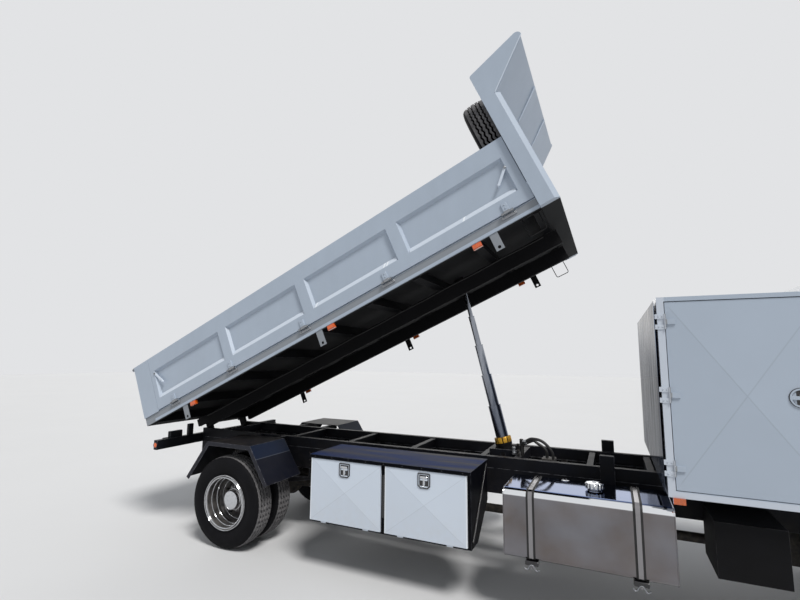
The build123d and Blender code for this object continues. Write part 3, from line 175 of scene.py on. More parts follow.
class Shape:
    """Gathers surfaces into one mesh, each with the number of its finish."""

    def __init__(self):
        self.points, self.faces, self.finishes, self.total = [], [], [], 0

    def grid(self, points, wrap_u=False, wrap_v=False, finish=0, caps=False):
        """Four-sided faces between neighbours on a grid of points; a wrapped direction joins its ends.
        The finish is one number, or one for each column of faces."""
        rows, columns = points.shape[:2]
        index = np.arange(rows * columns).reshape(rows, columns) + self.total
        ends = [index[0].tolist(), index[-1].tolist()[::-1]] if caps else []
        if wrap_u:
            index = np.vstack([index, index[:1]])
        if wrap_v:
            index = np.hstack([index, index[:, :1]])
        quads = np.stack([index[:-1, :-1], index[1:, :-1], index[1:, 1:], index[:-1, 1:]], -1)
        faces = quads.reshape(-1, 4).tolist() + ends
        if np.ndim(finish):
            finish = np.tile(finish, len(quads))
        self.points.append(points.reshape(-1, 3))
        self.faces += faces
        self.finishes += np.broadcast_to(finish, len(faces)).tolist()
        self.total += rows * columns

    def prism(self, outline, origin, across, up, low, high, finish=0):
        """An outline on two directions, carried straight from low to high along their cross product."""
        outline, way = np.asarray(outline, float), np.cross(across, up)
        flat = origin + outline[:, :1] * across + outline[:, 1:] * up
        self.grid(np.stack([flat + low * way, flat + high * way]), wrap_v=True, finish=finish, caps=True)

    def slab(self, centre, across, up, size, radius=0.004, edge=0.002, finish=0):
        """A plate with round corners whose outline shrinks by the edge at its two faces."""
        width, height, depth = size
        way, half, rows = np.cross(across, up), depth / 2, []
        for out, inset in ((-half, edge), (edge - half, 0), (half - edge, 0), (half, edge)):
            ring = rounded(width - 2 * inset, height - 2 * inset, max(radius - inset, 0.0005))
            rows.append(centre + out * way + ring[:, :1] * across + ring[:, 1:] * up)
        self.grid(np.stack(rows), wrap_v=True, finish=finish, caps=True)

    def turned(self, out, radius, turn, centre, axis, finish=0, closed=False):
        """A turned surface: distance out along an axis and radius from it, on a grid of turn by profile."""
        axis = np.asarray(axis, float)
        first = np.cross(axis, Z if abs(axis[2]) < 0.9 else X)
        first /= np.linalg.norm(first)
        spoke = np.cos(turn)[:, None] * first + np.sin(turn)[:, None] * np.cross(axis, first)
        points = centre + out[..., None] * axis + radius[..., None] * spoke[:, None]
        self.grid(points, wrap_u=True, wrap_v=closed, finish=finish)

    def lathe(self, profile, centre, axis, steps=32, finish=0, closed=False, start=0.0):
        """A profile of distance along an axis and radius from it, turned once round."""
        out, radius = np.asarray(profile, float).T[:, None]
        self.turned(out, radius, turns(steps, start), centre, axis, finish, closed)

    def sweep(self, path, section, up, finish=0, closed=False):
        """A flat section carried along a path, its second direction held as near to up as the path allows."""
        path, section = np.asarray(path, float), np.asarray(section, float)
        ahead = np.roll(path, -1, 0) - np.roll(path, 1, 0) if closed else np.gradient(path, axis=0)
        ahead /= np.linalg.norm(ahead, axis=1)[:, None]
        side = np.cross(ahead, np.broadcast_to(up, path.shape))
        side /= np.linalg.norm(side, axis=1)[:, None]
        top = np.cross(side, ahead)
        points = path[:, None] + section[None, :, :1] * side[:, None] + section[None, :, 1:] * top[:, None]
        self.grid(points, wrap_u=closed, wrap_v=True, finish=finish, caps=not closed)

    def bolt(self, centre, axis, radius, finish=0):
        """A hexagon head on a washer, with a low dome: two short profiles turned round the axis."""
        washer = [(-0.001, radius * 1.5), (0.1 * radius, radius * 1.5), (0.2 * radius, radius * 1.3)]
        self.lathe(washer, centre, axis, 12, finish)
        head = [(0, radius * 1.1), (radius * 0.8, radius * 1.1), (radius, radius * 0.8), (radius * 1.05, 0)]
        self.lathe(head, centre, axis, 6, finish)

    def piece(self, name, body, slot, *finishes, replaces=(), crease=35):
        """One object with its place in its mesh, seams merged, faces outwards, riding on a body."""
        mesh = bpy.data.meshes.new(name)
        mesh.from_pydata(np.concatenate(self.points), [], self.faces)
        mesh.polygons.foreach_set("material_index", np.array(self.finishes, np.int32))
        work = bmesh.new()
        work.from_mesh(mesh)
        bmesh.ops.remove_doubles(work, verts=work.verts, dist=1e-6)
        bmesh.ops.recalc_face_normals(work, faces=work.faces)
        work.to_mesh(mesh)
        work.free()
        for label in finishes:
            mesh.materials.append(finish(label))
        mesh.shade_smooth()
        mesh.set_sharp_from_angle(angle=math.radians(crease))
        made = bpy.data.objects.new(name, mesh)
        bpy.context.collection.objects.link(made)
        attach(made, body)
        if replaces:
            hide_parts(*replaces)
        return made


# Finishes

def tone(red, green, blue):
    """A colour as seen on a screen, 0 to 255, in the linear values that a shader takes."""
    seen = np.array([red, green, blue]) / 255
    return tuple(np.where(seen <= 0.04045, seen / 12.92, ((seen + 0.055) / 1.055) ** 2.4).tolist())


def dim(colour, share):
    """A colour at a share of its light."""
    return tuple(share * part for part in colour)


def colours():
    return bpy.context.scene.tipper_colours


def add_node(tree, kind, inputs=(), **settings):
    """A new node with its settings, each input set to its value, or linked where the value is a socket."""
    made = tree.nodes.new(kind)
    for label, value in settings.items():
        setattr(made, label, value)
    for label, value in dict(inputs).items():
        if isinstance(value, bpy.types.NodeSocket):
            tree.links.new(value, made.inputs[label])
        else:
            made.inputs[label].default_value = value
    return made


DUST, ZINC = tone(150, 138, 122), tone(150, 153, 157)


class Finish:
    """A material made of nodes that read Object coordinates, built up one layer after another."""

    def __init__(self, name, colour, roughness, **sockets):
        self.material = bpy.data.materials.new(name)
        self.material.use_nodes = True
        self.tree = self.material.node_tree
        self.shader = self.tree.nodes["Principled BSDF"]
        self.place = self.node("ShaderNodeTexCoord").outputs["Object"]
        values = {"Base Color": (*colour, 1.0), "Roughness": roughness, "Metallic": 0.0}
        values.update({label.replace("_", " "): value for label, value in sockets.items()})
        for label, value in values.items():
            self.shader.inputs[label].default_value = value
        self.colour, self.rough, self.metal = (values[k] for k in ("Base Color", "Roughness", "Metallic"))
        self.height = None

    def node(self, kind, inputs=(), **settings):
        return add_node(self.tree, kind, inputs, **settings)

    def noise(self, scale, stretch=(1, 1, 1), detail=4.0):
        """Cloudy noise, stretched along the part's directions."""
        spot = self.node("ShaderNodeMapping", {"Vector": self.place, "Scale": stretch}).outputs["Vector"]
        inputs = {"Vector": spot, "Scale": scale, "Detail": detail}
        return self.node("ShaderNodeTexNoise", inputs).outputs["Fac"]

    def sums(self, operation, first, second=0.0, clamp=False):
        made = self.node("ShaderNodeMath", {0: first, 1: second}, operation=operation, use_clamp=clamp)
        return made.outputs[0]

    def size(self, value):
        """A value without its sign."""
        return self.sums("ABSOLUTE", value)

    def product(self, first, way):
        """The dot product of a vector with a direction."""
        ways = {0: first, 1: way if isinstance(way, bpy.types.NodeSocket) else tuple(way)}
        return self.node("ShaderNodeVectorMath", ways, operation="DOT_PRODUCT").outputs["Value"]

    def dot(self, way, origin=(0, 0, 0)):
        """How far each point lies along a direction from an origin."""
        return self.sums("SUBTRACT", self.product(self.place, way), float(np.dot(way, origin)))

    def ahead(self, x):
        """How far each point lies ahead of a place given from the rear axle."""
        return self.dot(X, rear(x, 0, 0))

    def out(self):
        """How far each point lies from the truck's middle."""
        return self.size(self.dot(Y))

    def facing(self, way):
        """How far each face looks along a direction, from -1 to 1."""
        return self.product(self.node("ShaderNodeTexCoord").outputs["Normal"], way)

    def over(self, value, start, end):
        """0 below start and 1 above end, or the other way round where start is the larger."""
        reach = {"Value": value, "From Min": start, "From Max": end}
        return self.node("ShaderNodeMapRange", reach).outputs["Result"]

    def band(self, value, low, high, soft=0.001):
        """1 between low and high, and 0 outside."""
        return self.both(self.over(value, low - soft, low), self.over(value, high + soft, high))

    def both(self, *masks):
        """The product of masks."""
        whole = masks[0]
        for mask in masks[1:]:
            whole = self.sums("MULTIPLY", whole, mask)
        return whole

    def blend(self, mask, first, second):
        return self.node("ShaderNodeMix", {0: mask, 2: first, 3: second}, data_type="FLOAT").outputs[0]

    def layer(self, masks, colour=None, rough=None, metal=None):
        """Lays another colour, roughness and metal over what is there, by a mask from 0 to 1 or several."""
        mask = self.both(*masks) if isinstance(masks, tuple) else masks
        if colour is not None:
            mix = self.node("ShaderNodeMix", {0: mask, 6: self.colour, 7: (*colour, 1.0)}, data_type="RGBA")
            self.colour = mix.outputs[2]
        if rough is not None:
            self.rough = self.blend(mask, self.rough, rough)
        if metal is not None:
            self.metal = self.blend(mask, self.metal, metal)
        return self

    def mottle(self, scale, colour, amount, stretch=(1, 1, 1), rough=None):
        """Cloudy patches of another colour over up to an amount of the first."""
        return self.layer((self.over(self.noise(scale, stretch), 0.35, 0.7), amount), colour, rough)

    def dust(self, amount, top=1.2, scale=6.0, colour=DUST):
        """Road dust that thins out with height from the ground, and lies on what faces up."""
        low, up = self.over(self.dot(Z), top, 0.0), self.over(self.facing(Z), 0.3, 1.0)
        spread = self.sums("MAXIMUM", low, self.both(up, 0.6))
        return self.layer((spread, self.over(self.noise(scale, detail=7.0), 0.3, 0.7), amount), colour, 0.85)

    def raised(self, height):
        """Adds to the height that the bump is made from."""
        self.height = height if self.height is None else self.sums("ADD", self.height, height)
        return self

    def relief(self, scale, depth, stretch=(1, 1, 1), detail=3.0):
        """Fine unevenness of a depth, in metres."""
        return self.raised(self.both(self.noise(scale, stretch, detail), depth))

    def crossed(self, span, height, half, depth):
        """A sheet's cross break: it rises evenly from edges to middle, so four flats meet on two diagonals.
        Its height is depth times 1 less the larger of the shares of the way out, along x and up. A thin dark
        line along the two diagonals is painted shade at the creases."""
        along = self.sums("DIVIDE", self.size(self.ahead(sum(span) / 2)), (span[1] - span[0]) / 2)
        up = self.sums("DIVIDE", self.size(height), half)
        rise = self.sums("SUBTRACT", 1.0, self.sums("MAXIMUM", along, up), clamp=True)
        # Painted shade: a thin dark line where the four flats meet
        crease = self.over(self.size(self.sums("SUBTRACT", along, up)), 0.016, 0.004)
        self.layer((crease, self.over(rise, 0.04, 0.1), 0.16), (0.1, 0.11, 0.12))
        return self.raised(self.both(rise, depth))

    def bevel(self, radius):
        """The normal with edges rounded by a radius."""
        return self.node("ShaderNodeBevel", {"Radius": radius}, samples=4).outputs["Normal"]

    def worn(self, radius, colour, amount):
        """Rubbed edges: where the rounded normal leaves the face's own, broken up by noise."""
        flat = self.node("ShaderNodeNewGeometry").outputs["Normal"]
        edge = self.over(self.product(self.bevel(radius), flat), 0.985, 0.88)
        return self.layer((edge, self.over(self.noise(14, detail=8.0), 0.38, 0.6), amount), colour, 0.6)

    def from_axle(self):
        """Distance from the nearer wheel's axle line."""
        x = self.sums("MINIMUM", *(self.size(self.dot(X, (axle, 0, 0))) for axle in (REAR_X, FRONT_X)))
        z = self.dot(Z, (0, 0, AXLE_Z))
        return self.sums("SQRT", self.sums("ADD", self.both(x, x), self.both(z, z)))

    def done(self, round_edge=0.0):
        """Links what was laid to the shader, with edges that shine as if rounded."""
        links = {"Base Color": self.colour, "Roughness": self.rough, "Metallic": self.metal}
        if round_edge:
            links["Normal"] = self.bevel(round_edge)
        if self.height is not None:
            inputs = {"Height": self.height, "Distance": 1.0}
            if round_edge:
                inputs["Normal"] = links["Normal"]
            links["Normal"] = self.node("ShaderNodeBump", inputs).outputs["Normal"]
        for label, value in links.items():
            if isinstance(value, bpy.types.NodeSocket):
                self.tree.links.new(value, self.shader.inputs[label])
        return self.material


MAKERS = {}


def maker(make):
    """Lists a material under its function's name."""
    MAKERS[make.__name__] = make
    return make


def finish(label):
    """The material of that name, made once: by its own function, or from a row of a table."""
    made = bpy.data.materials.get(label)
    if made is None and label in LENSES:
        made = lens(label, tone(*LENSES[label])).done()
    elif made is None:
        made = MAKERS[label]() if label in MAKERS else plain(label)
    return made


def paint(name, colour, rough=0.32, shade=0.9, coat=0.4):
    """Sprayed paint: a faint cloudiness and orange peel."""
    made = Finish(name, colour, rough, Coat_Weight=coat, Coat_Roughness=0.12)
    made.mottle(1.3, dim(colour, shade), 0.5, rough=rough + 0.12)
    return made.relief(260, 0.00006).relief(2.2, 0.0016)


@maker
def bed_paint():
    """Light grey body paint, zinc where the side hinges stand out, black under the floor, and painted shade
    on the rave's face.
    """
    made = paint("bed_paint", colours().bed, coat=0.0).dust(0.25, top=0.0)
    made.mottle(9, dim(colours().bed, 0.8), 0.18, (1, 1, 0.2))
    out, height = made.out(), made.dot(UP, HINGE)
    made.layer((made.over(out, 1.2134, 1.2138), made.over(height, 0.376, 0.374)), ZINC, 0.3, 0.9)
    low = made.over(height, 0.3465, 0.3455)
    # Painted shade: the rave's outer face is darkened as if in the shadow of the drop side above it
    lip = (made.over(out, 1.1965, 1.197), made.over(out, 1.2005, 1.2), low, 0.6)
    made.layer(lip, tone(104, 101, 97), 0.6)
    made.layer((made.over(out, 1.1965, 1.1955), low), tone(6, 6, 8), 0.95)
    return made.done(0.003)


@maker
def headboard_paint():
    """The bed's paint, with its lower front end black."""
    made = paint("headboard_paint", colours().bed, coat=0.0)
    made.mottle(9, dim(colours().bed, 0.8), 0.18, (1, 1, 0.2))
    low = made.over(made.dot(UP, HINGE), 0.352, 0.3505)
    return made.layer((low, made.over(made.out(), 1.1775, 1.177)), tone(7, 7, 9), 0.9).done(0.003)


@maker
def canopy_paint():
    """Grey paint with zinc hinges that stand out of the side, a paler rim and a cross break with painted
    shade on its diagonals.
    """
    made = paint("canopy_paint", colours().bed, 0.3)
    seam = made.band(made.ahead(LOCKER[0]), -0.014, 0.012)
    made.layer((made.over(made.out(), 1.2283, 1.2286), seam), ZINC, 0.3, 0.9).dust(0.15, top=1.5)
    rim = made.sums("MAXIMUM", made.over(made.dot(Z), 1.213, 1.211), made.over(made.ahead(0), 4.5395, 4.5385))
    made.layer((rim, 0.6), tone(206, 212, 222))
    return made.crossed(LOCKER, made.dot(Z, (0, 0, 1.934)), 0.711, 0.016).done(0.003)


@maker
def door_paint():
    """Clean white gloss paint with a little road dirt low down; on each toolbox door a cross break with
    painted shade on its diagonals, inside folded edges with a painted highlight. The left box is lower, so
    its doors have their own middle and half height."""
    made = paint("door_paint", colours().doors, 0.26, 0.95)
    made.dust(0.35, top=0.9, scale=14, colour=tone(190, 185, 176))
    left = made.over(made.dot(Y), -0.1, 0.1)
    height = made.sums("SUBTRACT", made.dot(Z), made.blend(left, 0.825, 0.739))
    for low, high in BOX_DOORS:
        made.crossed((low, high), height, made.blend(left, 0.31, 0.224), 0.012)
        middle, half = (low + high) / 2, (high - low) / 2
        # Painted highlight: a brighter band along each door's folded edges
        edge_highlight = made.band(made.size(made.ahead(middle)), half - 0.009, half + 0.01, 0.002)
        made.layer((edge_highlight, 0.7), tone(240, 245, 250))
    return made.done(0.003)


@maker
def cab_paint():
    """White gloss paint outside, grey trim within the cabin."""
    made = paint("cab_paint", colours().cab, 0.22, 0.96, 0.8)
    inside = (made.band(made.dot(X, (FRONT_X, 0, 0)), -0.511, 0.899), made.band(made.dot(Z), 1.2295, 2.8105),
              made.over(made.out(), 1.1015, 1.1005))
    return made.layer(inside, tone(84, 84, 86), 0.7).dust(0.3, top=1.3, scale=8).done(0.004)


@maker
def chassis_paint():
    """Satin black with worn, dusty patches; the mudguards are greyer at their outer lips, and their slopes
    carry a painted reflection of the blue sky and a painted highlight along the fold.
    """
    made = Finish("chassis_paint", colours().chassis, 0.5, Specular_IOR_Level=0.16)
    made.mottle(5, tone(15, 19, 30), 0.6, rough=0.6).dust(0.10, top=1.25, scale=11)
    out, height = made.out(), made.dot(Z)
    made.layer((made.over(out, 1.2085, 1.2090), 0.8), tone(44, 45, 52), 0.55)
    # Painted reflection: slopes that face partly up take the sky's blue, bluer above the fold
    slope = made.both(made.band(made.facing(Z), 0.3, 0.9, 0.05), made.over(out, 0.61, 0.62))
    made.layer((slope, 0.6), tone(13, 17, 32), 0.5)
    made.layer((slope, made.over(height, 1.040, 1.046), 0.6), tone(22, 35, 58), 0.45)
    # Painted highlight: a pale line along the fold
    made.layer((slope, made.band(height, 1.037, 1.041, 0.002), 0.4), tone(104, 110, 124), 0.4)
    return made.worn(0.007, tone(146, 148, 154), 0.75).relief(90, 0.00012).done(0.003)


@maker
def underbody_black():
    """Matt black under the bed, rubbed at its edges."""
    made = Finish("underbody_black", tone(10, 10, 12), 0.7, Specular_IOR_Level=0.15)
    made.mottle(4, tone(20, 20, 23), 0.6, rough=0.8)
    return made.worn(0.006, tone(96, 95, 96), 0.7).relief(60, 0.0002).done(0.003)


@maker
def toolbox_black():
    """Black painted sheet, with a painted reflection of the blue sky in cloudy patches on its lid."""
    made = Finish("toolbox_black", colours().chassis, 0.42, Specular_IOR_Level=0.03)
    cloud = made.over(made.noise(2.5, (0.4, 3, 1)), 0.3, 0.75)
    # Painted reflection: the sky's blue on the upward faces
    made.layer((made.over(made.facing(Z), 0.5, 0.9), cloud, 0.9), tone(12, 40, 92), 0.65)
    made.dust(0.04, top=1.0, scale=12).worn(0.005, tone(128, 132, 140), 0.5)
    return made.relief(3, 0.003).done(0.003)


@maker
def cast_metal():
    """Painted casting with a coarse grain, oil-dark in patches."""
    made = Finish("cast_metal", tone(36, 36, 38), 0.6, Specular_IOR_Level=0.3)
    made.mottle(12, tone(18, 17, 17), 0.8).dust(0.3, top=1.3, scale=20)
    return made.relief(180, 0.0005).done(0.004)


@maker
def mirror_stainless():
    """Mirror-finished stainless sheet: slow ripples and wiping marks, with reflections painted into its
    colour: brown and pale cloudy patches, the blue sky on top and a highlight on its bends.
    """
    made = Finish("mirror_stainless", tone(114, 111, 113), 0.08, Metallic=1.0)
    # Painted reflections: brown and pale cloudy patches
    made.mottle(2.6, tone(112, 101, 94), 0.9, (1, 1, 1.6), rough=0.16).mottle(1.7, tone(150, 152, 160), 0.6)
    up = made.facing(Z)
    # Painted reflection of the blue sky on top, and a painted highlight on the rounded bends
    made.layer(made.over(up, 0.8, 0.97), tone(62, 84, 126), 0.07)
    made.layer(made.band(up, 0.2, 0.86, 0.08), tone(238, 240, 242), 0.05)
    made.layer((made.over(made.noise(70, (0.1, 1, 1), 6.0), 0.5, 0.8), 0.35), rough=0.22)
    return made.relief(2.4, 0.0022, (0.8, 1, 0.5), 1.0).done(0.002)


@maker
def canopy_mirror():
    """Thin mirror sheet that ripples from side to side, so its reflections stretch upright. Reflections are
    also painted
    into its colour: upright dark and pale streaks, a dark band at two metres, the blue sky above it, and dark
    grey where it is seen at a low angle."""
    made = Finish("canopy_mirror", tone(118, 126, 142), 0.07, Specular_IOR_Level=0.0, Metallic=1.0,
                  Specular_Tint=(0.05, 0.06, 0.08, 1.0))
    # Painted reflections: upright dark and pale streaks
    made.mottle(2.2, tone(78, 84, 100), 0.9, (1, 1.6, 0.3), rough=0.12)
    made.mottle(9, tone(44, 48, 58), 0.7, (1, 3, 0.15)).mottle(3.1, tone(172, 178, 190), 0.45, (1, 2, 0.3))
    height = made.dot(Z)
    # Painted reflections: a dark band at two metres and the blue sky above it
    made.layer((made.band(height, 1.84, 2.06, 0.16), 0.75), tone(54, 62, 80))
    made.layer((made.over(height, 2.1, 2.4), 0.6), tone(120, 152, 192))
    made.relief(3.0, 0.004, (1, 1.6, 0.25), 2.0)
    # Painted shade: dark grey, not metal, where the sheet is seen at a low angle
    grazing = made.node("ShaderNodeLayerWeight", {"Blend": 0.5}).outputs["Facing"]
    painted_grazing_dark = made.both(made.over(grazing, 0.8, 0.95), made.blend(made.over(height, 1.9, 2.3), 0.55, 0.35))
    made.layer((painted_grazing_dark, made.over(made.noise(5, (1, 3, 0.25)), 0.2, 0.6)), tone(64, 72, 92), metal=0.0)
    return made.done()


@maker
def strap_steel():
    """A stainless band between thin dark edges: the band is 34 mm wide at each strap."""
    made = Finish("strap_steel", tone(18, 18, 18), 0.6)
    for place in STRAPS:
        band = made.over(made.size(made.ahead(place)), 0.0175, 0.0165)
        made.layer((band, made.over(made.dot(-Y, (0, -0.588, 0)), 0, 0.002)), tone(150, 148, 150), 0.16, 1.0)
    return made.done()


@maker
def chrome():
    """Hard chrome, with faint wiping marks."""
    made = Finish("chrome", tone(205, 207, 210), 0.08, Metallic=1.0)
    marks = made.over(made.noise(40, detail=6.0), 0.5, 0.75)
    return made.layer((marks, 0.5), tone(150, 152, 156), 0.2).done(0.001)


@maker
def stage_chrome():
    """Ground and chromed tube with an oil film, darker than a mirror and most so at its foot."""
    made = Finish("stage_chrome", tone(160, 164, 172), 0.16, Metallic=1.0)
    made.mottle(8, tone(96, 102, 112), 0.7, (3, 3, 0.4), rough=0.3)
    foot = made.over(made.dot(HOIST, TRUNNION), 1.0, 0.3)
    return made.layer((foot, 0.65), tone(66, 74, 90), 0.2).done(0.001)


@maker
def ringed_alloy():
    """Machined and polished alloy: darker rings round the axle, and painted shade deep in the wells."""
    made = Finish("ringed_alloy", tone(206, 206, 208), 0.14, Metallic=1.0)
    away = made.from_axle()
    made.layer((made.band(away, 0.118, 0.232, 0.003), 0.94), tone(18, 17, 19), 0.45, 0.2)
    # Painted shade: near black deep in the rim's well
    well = (made.band(away, 0.236, 0.2735, 0.002), made.over(made.out(), 1.20, 1.19), 0.92)
    made.layer(well, tone(26, 24, 25), 0.35, 0.4)
    made.layer((made.band(away, 0.288, 0.296, 0.002), 0.8), tone(96, 92, 90), 0.3)
    made.mottle(14, tone(140, 136, 132), 0.5, rough=0.3).mottle(90, tone(70, 66, 62), 0.3, rough=0.5)
    return made.done(0.001)


@maker
def trim_plastic():
    """Grained dark plastic, slightly sun-faded."""
    made = Finish("trim_plastic", tone(38, 39, 41), 0.5).mottle(4, tone(60, 60, 61), 0.6, rough=0.62)
    return made.dust(0.3, top=0.9).relief(420, 0.0001).done(0.004)


@maker
def seat_cloth():
    """Woven charcoal cloth: fine crossed ribs."""
    made = Finish("seat_cloth", tone(52, 53, 57), 0.9, Sheen_Weight=0.3).mottle(160, tone(82, 83, 88), 0.6)
    return made.relief(700, 0.0006, (1, 1, 0.4)).done(0.02)


def lens(name, colour):
    """A moulded lens with close upright flutes."""
    made = Finish(name, colour, 0.12, Coat_Weight=1.0, Coat_Roughness=0.04)
    return made.mottle(60, dim(colour, 0.55), 0.6).relief(150, 0.0012, (1, 1, 0.1), 0.0)


LENSES = {"lens_amber": (226, 96, 24), "lens_red": (170, 22, 20), "lens_clear": (208, 212, 214)}


@maker
def lamp_lenses():
    """Red at the tail, amber under the tall locker and clear at the bumper, by place."""
    made = lens("lamp_lenses", tone(196, 88, 24))
    made.layer(made.over(made.ahead(-1), 0, -0.01), tone(*LENSES["lens_red"]))
    return made.layer(made.over(made.dot(X, (FRONT_X, 0, 0)), 0, 0.01), tone(205, 209, 212)).done(0.003)


# Plain finishes: colour, roughness and the shader's other inputs, then cloudy patches as scale, colour, share
# and roughness, and last the depth of a fine grain and the radius that edges shine with
PLAIN = {
    # Zinc-plated steel with dull flakes
    "zinc": ((150, 153, 157), 0.36, {"Metallic": 0.95}, [(60, (128, 130, 134), 0.7, 0.55)], 0, 0.002),
    # Bright plated nuts, duller where a wrench has been
    "nut_steel": ((214, 214, 216), 0.3, {"Metallic": 0.75}, [(120, (120, 118, 118), 0.6, 0.5)], 0, 0.001),
    # Passivated gold collar with a metal glint
    "gold_paint": ((206, 158, 44), 0.38, {"Metallic": 0.55}, [(26, (84, 58, 20), 0.9, 0.55)], 0, 0.002),
    # Dull cast wheel on the spare
    "spare_alloy": ((150, 150, 152), 0.35, {"Metallic": 1.0}, [(20, (90, 88, 86), 0.6, 0.5)], 0, 0.001),
    # Black side wall with a dry bloom
    "tyre_rubber": ((8, 8, 11), 0.75, {"Specular_IOR_Level": 0.14}, [(7, (15, 15, 19), 0.8, None)],
                    0.0003, 0),
    # Scuffed ribs, grey with road dust
    "tread_rubber": ((98, 97, 99), 0.85, {"Specular_IOR_Level": 0.2},
                     [(26, (134, 132, 132), 0.6, None), (9, (74, 73, 75), 0.4, None)], 0.0006, 0),
    # Unworn black rubber down in the grooves
    "groove_rubber": ((4, 4, 5), 0.9, {"Specular_IOR_Level": 0.05}, [(30, (10, 10, 10), 0.5, None)], 0, 0),
    # Black rubber trim and hose
    "trim_rubber": ((20, 20, 21), 0.5, {}, [(25, (48, 47, 46), 0.5, 0.7)], 0, 0),
    # Black powder coat on the latch plates
    "latch_black": ((24, 24, 26), 0.32, {"Coat_Weight": 0.4}, [(80, (50, 50, 54), 0.4, None)], 0, 0.001),
    # Faintly green laminated glass that lets the cabin show
    "window_glass": ((196, 214, 210), 0.02, {"Transmission_Weight": 0.86, "IOR": 1.45},
                     [(2, (170, 190, 188), 0.4, None)], 0, 0),
    # Silvered glass of the mirrors
    "mirror_glass": ((200, 204, 208), 0.03, {"Metallic": 1.0}, [(5, (180, 184, 190), 0.4, None)], 0, 0),
}
GRAIN = 220


def plain(label):
    """A finish from its row in the table."""
    colour, rough, sockets, patches, grain, edge = PLAIN[label]
    made = Finish(label, tone(*colour), rough, **sockets)
    for scale, patch, share, patch_rough in patches:
        made.mottle(scale, tone(*patch), share, rough=patch_rough)
    return (made.relief(GRAIN, grain) if grain else made).done(edge)


# Each finish and the solids that wear it; a star stands for left and right
FINISHED_NODES = {
    "bed_paint": "bed_floor drop_side_* tailgate",
    "headboard_paint": "headboard",
    "canopy_paint": "canopy_shell canopy_door_*",
    "door_paint": "toolbox_door_front_* toolbox_door_rear_*",
    "cab_paint": "cab_shell cab_door_*",
    "chassis_paint": "frame_rails frame_cross_members subframe_rails subframe_cross_members rear_mudguards "
                     "cab_mounts cab_steps leaf_springs",
    "underbody_black": "bed_underframe hoist_barrel battery_box air_tanks",
    "toolbox_black": "toolboxes",
    "cast_metal": "rear_axle front_axle drivetrain steering_knuckle_*",
    "mirror_stainless": "fuel_tank",
    "strap_steel": "tank_straps",
    "stage_chrome": "hoist_stage_1 hoist_stage_2 hoist_stage_3 hoist_stage_4 hoist_rod",
    "ringed_alloy": "front_rim_* rear_rims_*",
    "trim_plastic": "front_bumper grille dashboard mirrors",
    "window_glass": "windscreen cab_rear_window cab_door_glass_*",
    "lens_amber": "bed_lamps",
    "lamp_lenses": "lamps",
}


# Sizes and colours that a user would change

class TipperSizes(PropertyGroup):
    groove_depth: FloatProperty(name="Groove Depth", description="Depth of the tyres' tread", default=0.015,
                                unit="LENGTH")
    tread_blocks: IntProperty(name="Tread Blocks", description="Shoulder blocks round a tyre", default=52)
    nut_circle: FloatProperty(name="Nut Circle", description="Radius of the circle of wheel nuts",
                              default=0.1675, unit="LENGTH")
    nut_radius: FloatProperty(name="Nut Radius", description="Half the width of a wheel nut", default=0.0165,
                              unit="LENGTH")
    hose_radius: FloatProperty(name="Hose Radius", description="Half the width of a hoist hose",
                               default=0.0155, unit="LENGTH")
    floor_half: FloatProperty(name="Floor", description="Half the width of the floor", default=60.0,
                              unit="LENGTH")


class TipperColours(PropertyGroup):
    bed: FloatVectorProperty(name="Bed", description="Paint of the bed and the tall locker", subtype="COLOR",
                             default=tone(168, 180, 195), min=0, max=1)
    doors: FloatVectorProperty(name="Toolbox Doors", description="Paint of the toolbox doors",
                               subtype="COLOR", default=tone(203, 213, 226), min=0, max=1)
    cab: FloatVectorProperty(name="Cab", description="Paint of the cab", subtype="COLOR",
                             default=tone(214, 218, 222), min=0, max=1)
    chassis: FloatVectorProperty(name="Chassis", description="Paint of the frame and boxes", subtype="COLOR",
                                 default=tone(11, 12, 17), min=0, max=1)
    backdrop: FloatVectorProperty(name="Backdrop", description="Floor and background", subtype="COLOR",
                                  default=tone(226, 227, 229), min=0, max=1)


